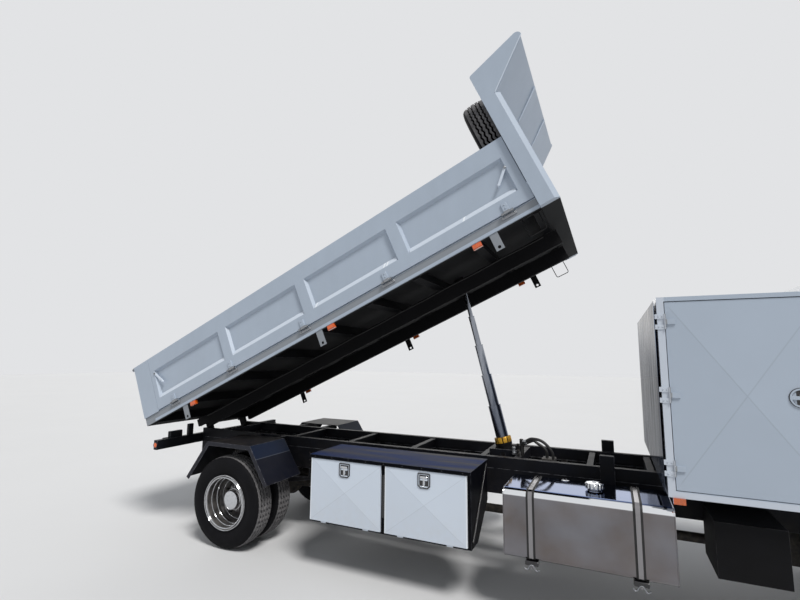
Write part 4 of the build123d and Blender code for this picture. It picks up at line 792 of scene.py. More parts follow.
class StageOperator(Operator):
    """Floor, background, lamps and the camera at the photograph's angle"""
    bl_idname = "tipper.stage"
    bl_label = "Stage"

    def execute(self, context):
        scene = bpy.context.scene
        scene.view_settings.view_transform = "Standard"
        self.floor(context.scene.tipper_sizes.floor_half)
        self.background(scene)
        self.lamps()
        self.camera(scene)
        return {"FINISHED"}

    def floor(self, half):
        """A flat square of floor."""
        edge = np.linspace(-half, half, 9)
        u, v = np.meshgrid(edge, edge, indexing="ij")
        shape = Shape()
        shape.grid(np.stack([u, v, np.zeros_like(u)], -1))
        mesh = bpy.data.meshes.new("floor")
        mesh.from_pydata(shape.points[0], [], [face[::-1] for face in shape.faces])
        pale = dim(colours().backdrop, 0.80)
        mesh.materials.append(Finish("floor", pale, 0.8).mottle(0.4, dim(pale, 0.97), 0.6).done())
        floor = bpy.data.objects.new("floor", mesh)
        bpy.context.collection.objects.link(floor)

    def background(self, scene):
        """Plain light from all round, and the pale backdrop for what the camera or a mirror sees."""
        world = bpy.data.worlds.new("studio")
        world.use_nodes = True
        tree = world.node_tree
        light = tree.nodes["Background"]
        light.inputs["Color"].default_value = (0.93, 0.965, 1.0, 1.0)
        light.inputs["Strength"].default_value = 0.38
        seen = add_node(tree, "ShaderNodeBackground", {"Color": (*colours().backdrop, 1.0)})
        rays = add_node(tree, "ShaderNodeLightPath").outputs
        most = rays["Is Camera Ray"]
        for ray in ("Is Glossy Ray", "Is Transmission Ray"):
            most = add_node(tree, "ShaderNodeMath", {0: most, 1: rays[ray]}, operation="MAXIMUM").outputs[0]
        mix = add_node(tree, "ShaderNodeMixShader", {0: most, 1: light.outputs[0], 2: seen.outputs[0]})
        tree.links.new(mix.outputs[0], tree.nodes["World Output"].inputs[0])
        scene.world = world

    def lamps(self):
        """A broad soft sun from the camera's right, high up, and a weaker, wider one from the far side."""
        for name, energy, angle, way in (("soft_sun", 2.9, 17, (0.55, -0.42, 1.0)),
                                         ("soft_fill", 0.7, 60, (-0.5, 0.9, 0.35))):
            sun = bpy.data.lights.new(name, "SUN")
            sun.energy, sun.angle, sun.color = energy, math.radians(angle), (1.0, 0.98, 0.95)
            lamp = bpy.data.objects.new(name, sun)
            lamp.rotation_mode = "QUATERNION"
            lamp.rotation_quaternion = Vector(way).to_track_quat("Z", "Y")
            bpy.context.collection.objects.link(lamp)

    def camera(self, scene):
        """Eye height 2.19 m, 5.3 m out to the truck's right, turned a little back and tipped up."""
        yaw, pitch, roll = (math.radians(turn) for turn in TURNED)
        level = Vector((math.cos(yaw), math.sin(yaw), 0))
        ahead = Vector((-math.sin(yaw), math.cos(yaw), 0)) * math.cos(pitch) + Vector((0, 0, math.sin(pitch)))
        upright = level.cross(ahead)
        side = level * math.cos(roll) + upright * math.sin(roll)
        top = upright * math.cos(roll) - level * math.sin(roll)
        lens = bpy.data.cameras.new("camera")
        lens.sensor_width, lens.lens, lens.clip_end = SENSOR, SENSOR * FOCAL / PHOTO_WIDTH, 300
        camera = bpy.data.objects.new("camera", lens)
        turned = Matrix((side, top, -ahead)).transposed()
        camera.matrix_world = Matrix.Translation(rear(*EYE)) @ turned.to_4x4()
        bpy.context.collection.objects.link(camera)
        scene.camera = camera


class FinishesOperator(Operator):
    """Gives every solid of the truck its paint, metal, rubber or glass"""
    bl_idname = "tipper.finishes"
    bl_label = "Finishes"

    def execute(self, context):
        for label, nodes in FINISHED_NODES.items():
            for node in nodes.split():
                for side, _ in SIDES:
                    materials = NODES[node.replace("*", side)].data.materials
                    materials.clear()
                    materials.append(finish(label))
        return {"FINISHED"}


# Wheels

RUBBERS = ("tyre_rubber", "tread_rubber", "groove_rubber")


def tyre(shape, centre, axis, sizes):
    """A tyre as a closed ring. Across it runs a profile of distance and radius: a middle rib, two zigzag
    grooves a side, then a wall through smoothed points with two raised rings. Round it, the grooves swing
    from side to side in a triangle wave, and one of every six steps of the shoulder drops a little as a
    slit."""
    deep = sizes.groove_depth
    tread = np.array([0, 12, 15, 32, 35, 52, 55, 72, 75, 90, 103]) / 1000
    grooves = np.array([0, 0, 1, 1, 0, 0, 1, 1, 0, 0, 0])
    drop = np.interp(tread, [0, 0.058, 0.104], [0, 0.003, 0.013]) + grooves * deep
    wall = smooth([(0.104, 0.014), (0.126, 0.040), (0.1385, 0.105), (0.130, 0.160), (0.110, 0.210),
                   (0.104, 0.2307)], 18)
    wall[:, 0] += sum(0.001 * np.exp(-((wall[:, 1] - ring) / 0.006) ** 2) for ring in (0.078, 0.172))
    swing = np.array([0] + [0.006] * 8 + [0] * (2 + len(wall)))
    half = np.column_stack([np.vstack([np.stack([tread, drop], -1), wall]), swing])
    across, inward, swing = np.vstack([half[::-1] * (-1, 1, 1), half[1:]]).T
    kind = [1, 1, 2, 1, 1, 1, 2, 1, 1, 1] + [0] * len(wall)
    phase = np.arange(6 * sizes.tread_blocks) % 6
    out = np.abs(np.round(across * 1000))
    slits = (phase < 1)[:, None] & (out > 85) & (out < 122)
    wave = np.abs(phase - 3) / 1.5 - 1
    radius = AXLE_Z - inward - slits * deep / 4
    shape.turned(across + wave[:, None] * swing, radius, turns(len(phase)), centre, axis,
                 kind[::-1] + kind + [0], closed=True)


class TyresOperator(Operator):
    """Treaded tyres in place of the plain ones, and the spare with its rim"""
    bl_idname = "tipper.tyres"
    bl_label = "Tyres"

    def execute(self, context):
        sizes = context.scene.tipper_sizes
        for side, way in SIDES:
            shape = Shape()
            for middle in TWIN_MIDDLES:
                tyre(shape, rear(0, way * middle, AXLE_Z), Y, sizes)
            shape.piece(f"twin_tyres_{side}", f"rear_wheels_{side}", "tyre_black", *RUBBERS,
                        replaces=[f"rear_tyres_{side}"])
            shape = Shape()
            tyre(shape, front(0, way * FRONT_MIDDLE, AXLE_Z), Y, sizes)
            shape.piece(f"steered_tyre_{side}", f"front_wheel_{side}", "tyre_black", *RUBBERS,
                        replaces=[f"front_tyre_{side}"])
        self.spare(sizes)
        return {"FINISHED"}

    def spare(self, sizes):
        """The spare lies against the headboard's sheet, with a plate and nut through its middle."""
        centre, shape = on_bed(*SPARE), Shape()
        tyre(shape, centre, ALONG, sizes)
        rim = [(0.167 - out / 1000, radius / 1000) for out, radius in RIM]
        shape.lathe(rim, centre, ALONG, 64, 3, closed=True)
        shape.slab(centre + 0.145 * ALONG, ACROSS, UP, (0.07, 0.34, 0.012), 0.01, finish=4)
        shape.bolt(centre + 0.139 * ALONG, -ALONG, 0.02, 5)
        shape.piece("spare_with_rim", "bed", "tyre_black", *RUBBERS, "spare_alloy", "latch_black", "zinc",
                    replaces=["spare_wheel"])


class WheelNutsOperator(Operator):
    """Ten nuts on every wheel, polished rings on its rim, a domed hub cap and a tyre valve"""
    bl_idname = "tipper.wheel_nuts"
    bl_label = "Wheel Nuts"

    def execute(self, context):
        sizes = context.scene.tipper_sizes
        for side, way in SIDES:
            for end, wheel, centre, cap, beads in (
                    ("rear", "rear_wheels", rear(0, way * REAR_FACE, AXLE_Z), 0.185, REAR_BEADS),
                    ("front", "front_wheel", front(0, way * FRONT_FACE, AXLE_Z), 0.044, FRONT_BEADS)):
                shape = self.wheel(centre, way * Y, cap, beads, sizes.nut_circle, sizes.nut_radius)
                shape.piece(f"{end}_nuts_{side}", f"{wheel}_{side}", "hoist_chrome", "nut_steel",
                            "trim_rubber", "chrome")
        return {"FINISHED"}

    def wheel(self, centre, axis, cap, beads, nut_circle, size):
        """Nuts at even turns of a circle: a wide washer, a hexagon and the stud's round end. The rim's
        polished steps are rings of a round section, and the hub cap is a shallow dome in a ring of bolts."""
        shape = Shape()
        for along, radius, thick in beads:
            shape.lathe(circle(thick, 10) + (along, radius), centre, axis, 96, 2, closed=True)
        dome = np.linspace(0, math.pi / 2, 8)
        profile = np.stack([cap + 0.016 * np.sin(dome), 0.108 * np.cos(dome)], -1)
        shape.lathe(np.vstack([(cap - 0.002, 0.108), profile]), centre, axis, 48, 2)
        for turn, (x, z) in zip(turns(10), circle(nut_circle, 10)):
            spot = centre + x * X + z * Z
            shape.lathe([(0, size * 1.35), (0.005, size * 1.35), (0.007, size * 1.1)], spot, axis, 16)
            shape.lathe([(0.006, size * 1.1), (0.026, size * 1.1), (0.029, size * 0.9), (0.029, 0.010)], spot,
                        axis, 6, start=turn)
            shape.lathe([(0.028, 0.010), (0.036, 0.010), (0.038, 0.006), (0.038, 0)], spot, axis, 12)
        shape.lathe([(cap - 0.066, 0.1155), (cap - 0.066, 0.123), (cap - 0.056, 0.123), (cap - 0.054, 0.114)],
                    centre, axis, 48)
        for x, z in circle(0.1115, 8, 0.3):
            shape.bolt(centre + x * X + z * Z + (cap - 0.052) * axis, axis, 0.006)
        x, z = circle(0.23, 1, 0.9)[0]
        valve = [(0.02, 0), (0.05, 0), (0.07, 0.02), (0.075, 0.05)]
        stem = [centre + x * X + (z + rise) * Z + out * axis for out, rise in valve]
        shape.sweep(smooth(stem, 10), circle(0.0045, 8), X, 1)
        return shape


# Fuel tank

class TankOperator(Operator):
    """End seams, filler cap, sender and strap fittings of the polished fuel tank"""
    bl_idname = "tipper.tank"
    bl_label = "Fuel Tank"

    def execute(self, context):
        shape = Shape()
        for x in (TANK_X[0] + 0.006, TANK_X[1] - 0.006):
            shape.sweep(self.girth(x), circle(0.004, 8), X, closed=True)
        shape.piece("tank_end_seams", "chassis", "tank_polished", "mirror_stainless")
        self.cap()
        self.fittings()
        return {"FINISHED"}

    def girth(self, x):
        """The tank's outline at a place along it."""
        ring = rounded(TANK_Y[1] - TANK_Y[0], TANK_Z[1] - TANK_Z[0], 0.060, 10)
        return rear(x, sum(TANK_Y) / 2, sum(TANK_Z) / 2) + ring[:, :1] * Y + ring[:, 1:] * Z

    def cap(self):
        """A turned cap whose rim swells and shrinks sixteen times round, under a shallow dome."""
        centre, turn, shape = rear(3.957, -0.900, 1.104), turns(128), Shape()
        out, radius = np.array([(-0.020, 0.062), (-0.020, 0.067), (-0.016, 0.0735), (0.020, 0.0735),
                                (0.027, 0.068), (0.0290, 0.058), (0.0315, 0.048), (0.0335, 0.020),
                                (0.0340, 0.0)]).T
        grip = np.array([0, 0, 1, 1, 0.4, 0, 0, 0, 0]) * 0.0025
        shape.turned(out[None], radius + grip * np.cos(16 * turn)[:, None], turn, centre, Z)
        shape.lathe([(-0.034, 0.060), (-0.030, 0.060), (-0.028, 0.048), (0.0, 0.047)], centre, Z, 40)
        shape.prism(rounded(0.030, 0.008, 0.004), centre + 0.0335 * Z, X, Y, 0, 0.006)
        shape.piece("tank_cap", "chassis", "tank_polished", "chrome")

    def fittings(self):
        """Sender plate with its screws, drain plug, rubber under the straps and their bent hooks."""
        shape, sender = Shape(), rear(3.70, -0.68, TANK_Z[1])
        shape.lathe([(0, 0.036), (0.004, 0.036), (0.005, 0.034), (0.005, 0)], sender, Z, 32)
        for x, y in circle(0.027, 5):
            shape.bolt(sender + (x, y, 0.005), Z, 0.0035)
        shape.lathe([(0, 0.016), (0.012, 0.016), (0.012, 0)], rear(3.85, -0.86, TANK_Z[0]), -Z, 6)
        half_hook = ((0.062, 0.448), (0.046, 0.434), (0.030, 0.440), (0.018, 0.462), (0, 0.474))
        hook = [(-x, z) for x, z in half_hook] + list(half_hook[3::-1])
        for place in STRAPS:
            shape.slab(rear(place, -1.150, 0.484), X, Z, (0.110, 0.036, 0.050), 0.008, 0.003, 2)
            shape.sweep(smooth([rear(place + x, -1.172, z) for x, z in hook], 40), circle(0.0055, 8), Y, 3)
            shape.sweep(self.girth(place), rounded(0.070, 0.0034, 0.0015, 2)[:, ::-1], X, 1, closed=True)
        shape.piece("tank_fittings", "chassis", "tank_polished", "chrome", "trim_rubber", "latch_black",
                    "zinc")


# Toolboxes

class ToolboxesOperator(Operator):
    """Latches, lid screws, the strip between the doors and the end strap of the toolboxes"""
    bl_idname = "tipper.toolboxes"
    bl_label = "Toolboxes"

    def execute(self, context):
        for (side, way), top in zip(SIDES, (1.172, 1.000)):
            for place, x in (("rear", 1.618), ("front", 2.4915)):
                spot = rear(x, way * BOX_FACE, top - 0.122)
                self.latch(f"latch_{place}_{side}", f"toolbox_door_{place}_{side}", spot, way * Y)
            shape = Shape()
            for x in np.linspace(1.26, 2.87, 9):
                shape.bolt(rear(x, way * LID_FACE, top - 0.016), way * Y, 0.004)
            low, high = rear(BOX_FRONT, way * 1.12, 0.54), rear(BOX_FRONT, way * 0.61, top - 0.04)
            shape.sweep(np.linspace(low, high, 6), rounded(0.030, 0.006, 0.002), X)
            for share in (0.04, 0.96):
                shape.bolt(low + share * (high - low) + 0.003 * X, X, 0.006)
            middle = rear(BOX_SPLIT, way * 1.1805, top / 2 + 0.26)
            shape.prism(rounded(0.022, 0.40, 0.004), middle, -way * X, Z, 0, 0.004)
            shape.piece(f"toolbox_trim_{side}", "chassis", "chassis_black", "latch_black")
        return {"FINISHED"}

    def latch(self, name, body, centre, out):
        """A pressed plate with a raised rim and pointed foot; in its dish, a T handle and a key barrel."""
        shape, across, hub = Shape(), -out[1] * X, centre + 0.002 * out
        half = np.array([(0.056, 0.067), (0.063, 0.062), (0.063, -0.052), (0.038, -0.073)])
        outline = np.vstack([half, half[::-1] * (-1, 1)])
        flat = outline[:, :1] * across + outline[:, 1:] * Z
        rows = ((0.0, 1.0), (0.0075, 1.0), (0.0085, 0.96), (0.0085, 0.86), (0.0022, 0.82))
        plate = np.stack([centre + rise * out + share * flat for rise, share in rows])
        shape.grid(plate, wrap_v=True, caps=True)
        shape.lathe([(0, 0.020), (0.006, 0.020), (0.009, 0.016), (0.009, 0)], hub + 0.012 * Z, out, 24, 1)
        shape.slab(hub + 0.009 * out + 0.030 * Z, across, Z, (0.076, 0.020, 0.010), 0.009, 0.003, 1)
        shape.slab(hub + 0.008 * out - 0.004 * Z, across, Z, (0.018, 0.060, 0.008), 0.006, 0.002, 1)
        barrel = [(0.004, 0.010), (0.010, 0.010), (0.011, 0.008), (0.009, 0.006), (0.009, 0)]
        shape.lathe(barrel, hub - 0.042 * Z, out, 20, 1)
        shape.piece(name, body, "hoist_chrome", "latch_black", "chrome")


# Bed

class BedOperator(Operator):
    """Latch levers, hinge straps, panel folds, gate pins and stiffeners and the wiring of the tipping bed"""
    bl_idname = "tipper.bed"
    bl_label = "Bed"

    def execute(self, context):
        for side, way in SIDES:
            self.levers(side, way)
            self.hinges(side, way)
            self.folds(side, way)
        self.gate()
        self.wiring()
        return {"FINISHED"}

    def levers(self, side, way):
        """Each latch lever: a flat bar with round ends, its pivot bolt and a round knob."""
        shape, out = Shape(), way * Y
        for ends in (((0.230, 0.830), (0.345, 0.675)), ((5.295, 0.763), (5.171, 0.634))):
            start, end = (on_bed(along, way * 1.2105, up) for along, up in ends)
            reach = np.linalg.norm(end - start)
            ahead = (end - start) / reach
            middle = (start + end) / 2 + 0.0015 * out
            shape.slab(middle, ahead, np.cross(out, ahead), (reach + 0.028, 0.027, 0.013), 0.0133, 0.003)
            shape.bolt(start + 0.008 * out, out, 0.010, 1)
            shape.lathe([(0, 0.011), (0.012, 0.011), (0.015, 0.008), (0.015, 0)], end + 0.006 * out, out, 20)
        shape.piece(f"side_levers_{side}", f"drop_side_{side}", "door_white", "door_paint", "zinc")

    def hinges(self, side, way):
        """Folded hinge straps on the drop side, with two bolts each; their plates, bolts and knuckles on the
        bed, and the lip under the bed's edge."""
        straps, plates, lip = Shape(), Shape(), Shape()
        for along in SIDE_HINGES:
            straps.slab(on_bed(along, way * 1.2195, 0.412), ALONG, UP, (0.056, 0.080, 0.013), 0.006, 0.002)
            for up in (0.396, 0.430):
                straps.bolt(on_bed(along, way * 1.2255, up), way * Y, 0.006)
            for end in (-0.053, 0.053):
                plates.bolt(on_bed(along + end, way * 1.2065, 0.326), way * Y, 0.005)
                plates.lathe([(-0.014, 0.0118), (-0.014, 0.0128), (0.014, 0.0128), (0.014, 0.0118)],
                             on_bed(along + end * 0.9, way * 1.225, 0.352), ALONG, 24)
            plates.slab(on_bed(along, way * 1.2025, 0.322), ALONG, UP, (0.150, 0.030, 0.009), 0.004, 0.002)
        straps.piece(f"side_hinge_straps_{side}", f"drop_side_{side}", "body_white", "bed_paint")
        plates.piece(f"side_hinge_bolts_{side}", "bed", "door_white", "zinc")
        lip.slab(on_bed(2.728, way * 1.2015, 0.262), ALONG, UP, (5.36, 0.034, 0.008), 0.003, 0.002)
        lip.piece(f"rave_lip_{side}", "bed", "body_white", "headboard_paint")

    def folds(self, side, way):
        """The lower fold of each sunk panel: a long wedge in the corner between the rail and the panel, in
        the doors' brighter white as a painted highlight.
        """
        shape = Shape()
        wedge = np.array([(0.0, 0.495), (0.0, 0.502), (-0.032, 0.548), (-0.034, 0.495)]) * (way, 1)
        for low, high in SIDE_PANELS:
            shape.prism(wedge, on_bed(0, way * 1.2125, 0), ACROSS, UP, low + 0.014, high - 0.014)
        # Painted highlight: the up-facing fold wears the doors' brighter white instead of the bed's paint
        shape.piece(f"side_folds_painted_highlight_{side}", f"drop_side_{side}", "body_white", "door_paint")

    def gate(self):
        """Top pins' washers, and two level and three upright folded stiffeners on the tailgate."""
        shape = Shape()
        for way in WAYS:
            shape.bolt(on_bed(-0.148, way * 1.2135, 1.040), way * Y, 0.012)
        shape.piece("gate_pin_ends", "tailgate", "door_white", "zinc")
        shape = Shape()
        for y in (-0.78, 0, 0.78):
            shape.slab(on_bed(GATE_FACE, y, 0.70), ACROSS, UP, (0.090, 0.60, 0.010), 0.01, 0.003)
        for up in (0.40, 1.015):
            shape.slab(on_bed(GATE_FACE, 0, up), ACROSS, UP, (2.26, 0.055, 0.010), 0.01, 0.003)
        shape.piece("gate_stiffeners", "tailgate", "body_white", "headboard_paint")

    def wiring(self):
        """Cable runs along the bearers to the marker lamps: shallow sags between clips."""
        shape, along = Shape(), np.linspace(0.1, 5.30, 79)[:, None]
        sag = 0.214 - 0.006 * np.abs(np.sin(along * math.pi / 0.69))
        for way in WAYS:
            shape.sweep(on_bed(along, way * 0.423, sag), circle(0.007, 8), Y)
        shape.piece("bed_wiring", "bed", "chassis_black", "trim_rubber")


class HeadboardOperator(Operator):
    """Weld beads of the cab guard and the headboard's posts, some in brighter white as painted highlights"""
    bl_idname = "tipper.headboard"
    bl_label = "Headboard"

    def execute(self, context):
        """Thin round beads along the gussets' creases, under the guard sheet's edge and up the posts. Those
        along the creases and under the guard wear the doors' brighter white as painted highlights of lit
        edges.
        """
        shape = Shape()
        for way in WAYS:
            # Painted highlights: the beads on the creases and under the guard wear the doors' brighter white
            for low, high, radius, kind in (((5.546, 1.2465, 1.488), (5.998, 1.2465, 1.861), 0.006, 1),
                                            ((5.66, 0.382, 1.562), (5.984, 0.382, 1.818), 0.005, 1),
                                            ((5.66, 0.398, 1.562), (5.984, 0.398, 1.818), 0.005, 1),
                                            ((5.4955, 1.176, 0.40), (5.4955, 1.176, 1.47), 0.004, 0)):
                ends = (on_bed(along, way * y, up) for along, y, up in (low, high))
                shape.sweep(np.linspace(*ends, 12), circle(radius, 8), Y, kind)
        shape.piece("headboard_welds", "bed", "body_white", "headboard_paint", "door_paint")
        return {"FINISHED"}


class HoistOperator(Operator):
    """Gold castellated collar, looping hoses and small fittings of the hoist"""
    bl_idname = "tipper.hoist"
    bl_label = "Hoist"

    def execute(self, context):
        self.collar()
        self.hoses(context.scene.tipper_sizes.hose_radius)
        return {"FINISHED"}

    def collar(self):
        """A ring nut: round its wall the radius steps in and out ten times."""
        shape, turn = Shape(), turns(160)
        out, radius = np.array([(0.098, 0.0845), (0.102, 0.0935), (0.157, 0.0935), (0.1655, 0.088),
                                (0.1655, 0.0725)]).T
        notches = 0.006 * (np.sin(10 * turn) > 0.75)[:, None] * np.array([0, 1, 1, 1, 0])
        shape.turned(out[None], radius - notches, turn, TRUNNION, HOIST, closed=True)
        shape.piece("hoist_collar", "hoist_barrel", "hoist_paint", "gold_paint")

    def hoses(self, hose_radius):
        """Two hoses leave a capped elbow each and arch down to the cradle's block, where nuts hold them.
        Three small stepped fittings stand beside the hoist's foot."""
        shape, base = Shape(), np.array([TRUNNION[0] + 0.03, 0, 0])
        for y, top, reach in ((-0.17, 1.34, 0.50), (-0.10, 1.31, 0.43)):
            path = [(0.19, y, top - 0.035), (0.225, y, top - 0.028), (0.29, y - 0.01, top),
                    (reach - 0.10, y - 0.02, top - 0.02), (reach - 0.01, y - 0.02, 1.22),
                    (reach, y - 0.02, 1.10)]
            path = smooth(base + path, 40)
            shape.sweep(path, circle(hose_radius, 12), Y, 0)
            shape.lathe([(-0.02, 0.019), (0.03, 0.019), (0.033, 0.015)], path[-1], Z, 6, 1)
            shape.lathe([(0.030, 0.013), (0.030, 0.021), (-0.004, 0.021), (-0.004, 0.0)], path[0], X, 6, 1)
            shape.lathe([(-0.036, 0.0), (-0.036, 0.016), (-0.030, 0.021), (0.018, 0.021), (0.024, 0.016),
                         (0.024, 0)], path[0] - 0.016 * X, Z, 16, 2)
            shape.lathe([(0.0, 0.014), (top - 1.215, 0.014)], base + (0.174, y, 1.15), Z, 12, 2)
        shape.slab(base + (0.45, -0.13, 1.10), X, Z, (0.14, 0.10, 0.16), 0.012, 0.006, 2)
        for x, y, radius, high, kind in ((0.095, -0.19, 0.019, 0.075, 1), (0.125, -0.11, 0.015, 0.100, 2),
                                         (0.150, -0.22, 0.013, 0.055, 2)):
            steps = [(0, radius * 1.2), (0.022, radius * 1.2), (0.024, radius), (high - 0.02, radius * 0.8),
                     (high - 0.018, radius * 1.15), (high, radius * 1.15), (high + 0.004, 0)]
            shape.lathe(steps, base + (x, y, 1.165), Z, 6, kind)
        shape.piece("hoist_hoses", "chassis", "hoist_paint", "trim_rubber", "zinc", "cast_metal")


# Tall locker behind the cab

class CanopyOperator(Operator):
    """Mirror sheet on the rear face, hinge screws, round latches and drip edges of the tall locker"""
    bl_idname = "tipper.canopy"
    bl_label = "Tall Locker"

    def execute(self, context):
        low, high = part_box("canopy_shell")
        shape = Shape()
        middle = np.array([low.x - 0.0015, 0, (low.z + high.z) / 2])
        shape.slab(middle, Y, Z, (2.410, high.z - low.z - 0.05, 0.003), 0.01, 0.001)
        shape.piece("locker_mirror_sheet", "chassis", "tank_polished", "canopy_mirror")
        edges = Shape()
        for side, way in SIDES:
            self.latch(side, way * Y, rear(5.330, way * LOCKER_FACE, 1.935))
            shape = Shape()
            for z in (1.380, 1.924, 2.490):
                for x in (4.5195, 4.4925):
                    for lift in (-0.042, 0.042):
                        shape.bolt(rear(x, way * HINGE_FACE, z + lift), way * Y, 0.0045)
            shape.piece(f"locker_hinge_screws_{side}", "chassis", "body_white", "canopy_paint")
            edge = rear(5.017, way * (LOCKER_FACE + 0.001), 2.679)
            edges.slab(edge, X, Z, (1.06, 0.008, 0.006), 0.002, 0.001)
        edges.piece("locker_drip_edges", "chassis", "body_white", "canopy_paint")
        return {"FINISHED"}

    def latch(self, side, out, centre):
        """A round dished plate with a folding handle across it."""
        shape = Shape()
        dish = [(0, 0.070), (0.0065, 0.070), (0.0085, 0.066), (0.0085, 0.055), (0.0015, 0.050), (0.0015, 0)]
        shape.lathe(dish, centre, out, 40)
        shape.slab(centre + 0.0045 * out, X, Z, (0.108, 0.026, 0.009), 0.012, 0.003, 1)
        shape.lathe([(0.008, 0.010), (0.011, 0.010), (0.011, 0)], centre + 0.02 * Z, out, 20, 1)
        shape.piece(f"locker_latch_{side}", f"canopy_door_{side}", "hoist_chrome", "latch_black", "chrome")


# Cab

class CabOperator(Operator):
    """Window rubbers, wipers, handles, seats, lamps, mirror glass and panel trims of the cab"""
    bl_idname = "tipper.cab"
    bl_label = "Cab"

    def execute(self, context):
        self.screen()
        for side, way in SIDES:
            self.door(side, way)
        self.seats()
        self.nose()
        return {"FINISHED"}

    def on_screen(self, y, z, out=0.0):
        """A point on the raked windscreen, which is straight from its foot to its top, or out from it."""
        rake = SCREEN_TOP - SCREEN_FOOT
        normal = np.array([rake[1], -rake[0]]) / np.linalg.norm(rake)
        x, z = SCREEN_FOOT + rake * (z - SCREEN_FOOT[1]) / rake[1] + out * normal
        return front(x, y, z)

    def screen(self):
        """Rubber round the windscreen, and two wipers on bent arms."""
        shape = Shape()
        path = np.array([self.on_screen(y, 2.32 + z, 0.001) for y, z in rounded(2.06, 0.72, 0.07, 8)])
        shape.sweep(path, rounded(0.030, 0.010, 0.004, 3), SCREEN_WAY, closed=True)
        arm = ((0, 1.945, 0.012), (0.08, 2.05, 0.030), (0.30, 2.28, 0.030))
        blade = ((0.02, 2.10, 0.016), (0.30, 2.28, 0.022), (0.56, 2.46, 0.016))
        for foot in (-0.62, 0.28):
            for places, count, section in ((arm, 12, rounded(0.014, 0.006, 0.002, 2)),
                                           (blade, 16, rounded(0.010, 0.016, 0.003, 2))):
                path = [self.on_screen(foot + y, z, out) for y, z, out in places]
                shape.sweep(smooth(path, count), section, X)
            shape.bolt(self.on_screen(foot, 1.935, 0.001), SCREEN_WAY, 0.012)
        shape.piece("windscreen_rubber", "cab", "trim_dark", "trim_rubber")

    def door(self, side, way):
        """Rubber round the door glass, the handle in its dish and the mirror's glass."""
        window, path = np.array([(0.010, 1.950), (0.010, 2.560), (0.700, 2.560), (0.930, 1.950)]), []
        for number, corner in enumerate(window):
            before, after = window[number - 1] - corner, window[(number + 1) % 4] - corner
            path += [corner + share * before for share in (0.10, 0.05, 0.02)]
            path += [corner + share * after for share in (0.02, 0.05, 0.10)]
        shape = Shape()
        path = [front(x, way * (DOOR_FACE + 0.001), z) for x, z in path]
        shape.sweep(path, rounded(0.022, 0.008, 0.003, 3), way * Y, closed=True)
        shape.slab(front(0.115, way * DOOR_FACE, 1.760), X, Z, (0.200, 0.090, 0.006), 0.02, 0.002)
        grip = front(0.115, way * (DOOR_FACE + 0.0105), 1.772)
        shape.slab(grip, X, Z, (0.150, 0.026, 0.014), 0.01, 0.004, 1)
        shape.piece(f"door_fittings_{side}", f"cab_door_{side}", "trim_dark", "trim_rubber", "latch_black")
        shape = Shape()
        for z, height in ((2.140, 0.270), (1.870, 0.170)):
            shape.slab(front(1.0590, way * 1.300, z), Y, Z, (0.168, height, 0.004), 0.02, 0.001)
        shape.piece(f"mirror_glass_{side}", "cab", "hoist_chrome", "mirror_glass")

    def seats(self):
        """Three seats, each a base box, a back board and two cushions, in the room of their solids."""
        shape = Shape()
        for place, y in SEATS:
            shape.slab(front(-0.190, y, 1.335), X, Y, (0.470, 0.400, 0.210), 0.03, 0.01)
            shape.slab(front(-0.485, y, 1.930), Y, Z, (0.340, 0.600, 0.024), 0.06, 0.008)
        shape.piece("seat_bases", "cab", "trim_dark", "trim_plastic", replaces=["seats"])
        for place, y in SEATS:
            self.cushion(f"seat_squab_{place}", front(-0.165, y, 1.525), X, Y, (0.430, 0.430, 0.165))
            self.cushion(f"seat_back_{place}", front(-0.4235, y, 1.955), -Y, Z, (0.410, 0.660, 0.125))

    def cushion(self, name, centre, across, up, size):
        """A closed crowned pad. Each face rises by the square root of (1 less the eighth power of the way
        out) in both directions, its sides pull in by the square of the way between the corners, and two sewn
        channels sink as narrow bell curves. A welt runs round its edge."""
        edge = np.sin(np.linspace(-math.pi / 2, math.pi / 2, 49))
        u, v = np.meshgrid(edge, edge, indexing="ij")
        width, height, thick = size
        flat = (centre + (width / 2 * u * (0.985 - 0.045 * (1 - v ** 2)))[..., None] * across
                + (height / 2 * v * (0.985 - 0.035 * (1 - u ** 2)))[..., None] * up)
        rise = np.sqrt(np.clip((1 - u ** 8) * (1 - v ** 8), 0, 1))
        crown = rise * (0.74 + 0.26 * (1 - u ** 2) * (1 - v ** 2))
        inner = np.maximum(np.abs(u), np.abs(v))
        channels = 0.06 * (np.exp(-((np.abs(v) - 0.36) / 0.03) ** 2) + np.exp(-((inner - 0.84) / 0.025) ** 2))
        way, shape = np.cross(across, up), Shape()
        shape.grid(flat + (thick * 0.5 * (crown - channels * rise))[..., None] * way)
        shape.grid(flat - (thick * 0.46 * rise)[..., None] * way)
        border = np.concatenate([flat[:-1, 0], flat[-1, :-1], flat[:0:-1, -1], flat[0, :0:-1]])
        shape.sweep(border[::2], circle(0.0038, 8), way, 1, closed=True)
        pad = shape.piece(name, "cab", "seat_fabric", "seat_cloth", "trim_rubber", replaces=["seats"],
                          crease=60)

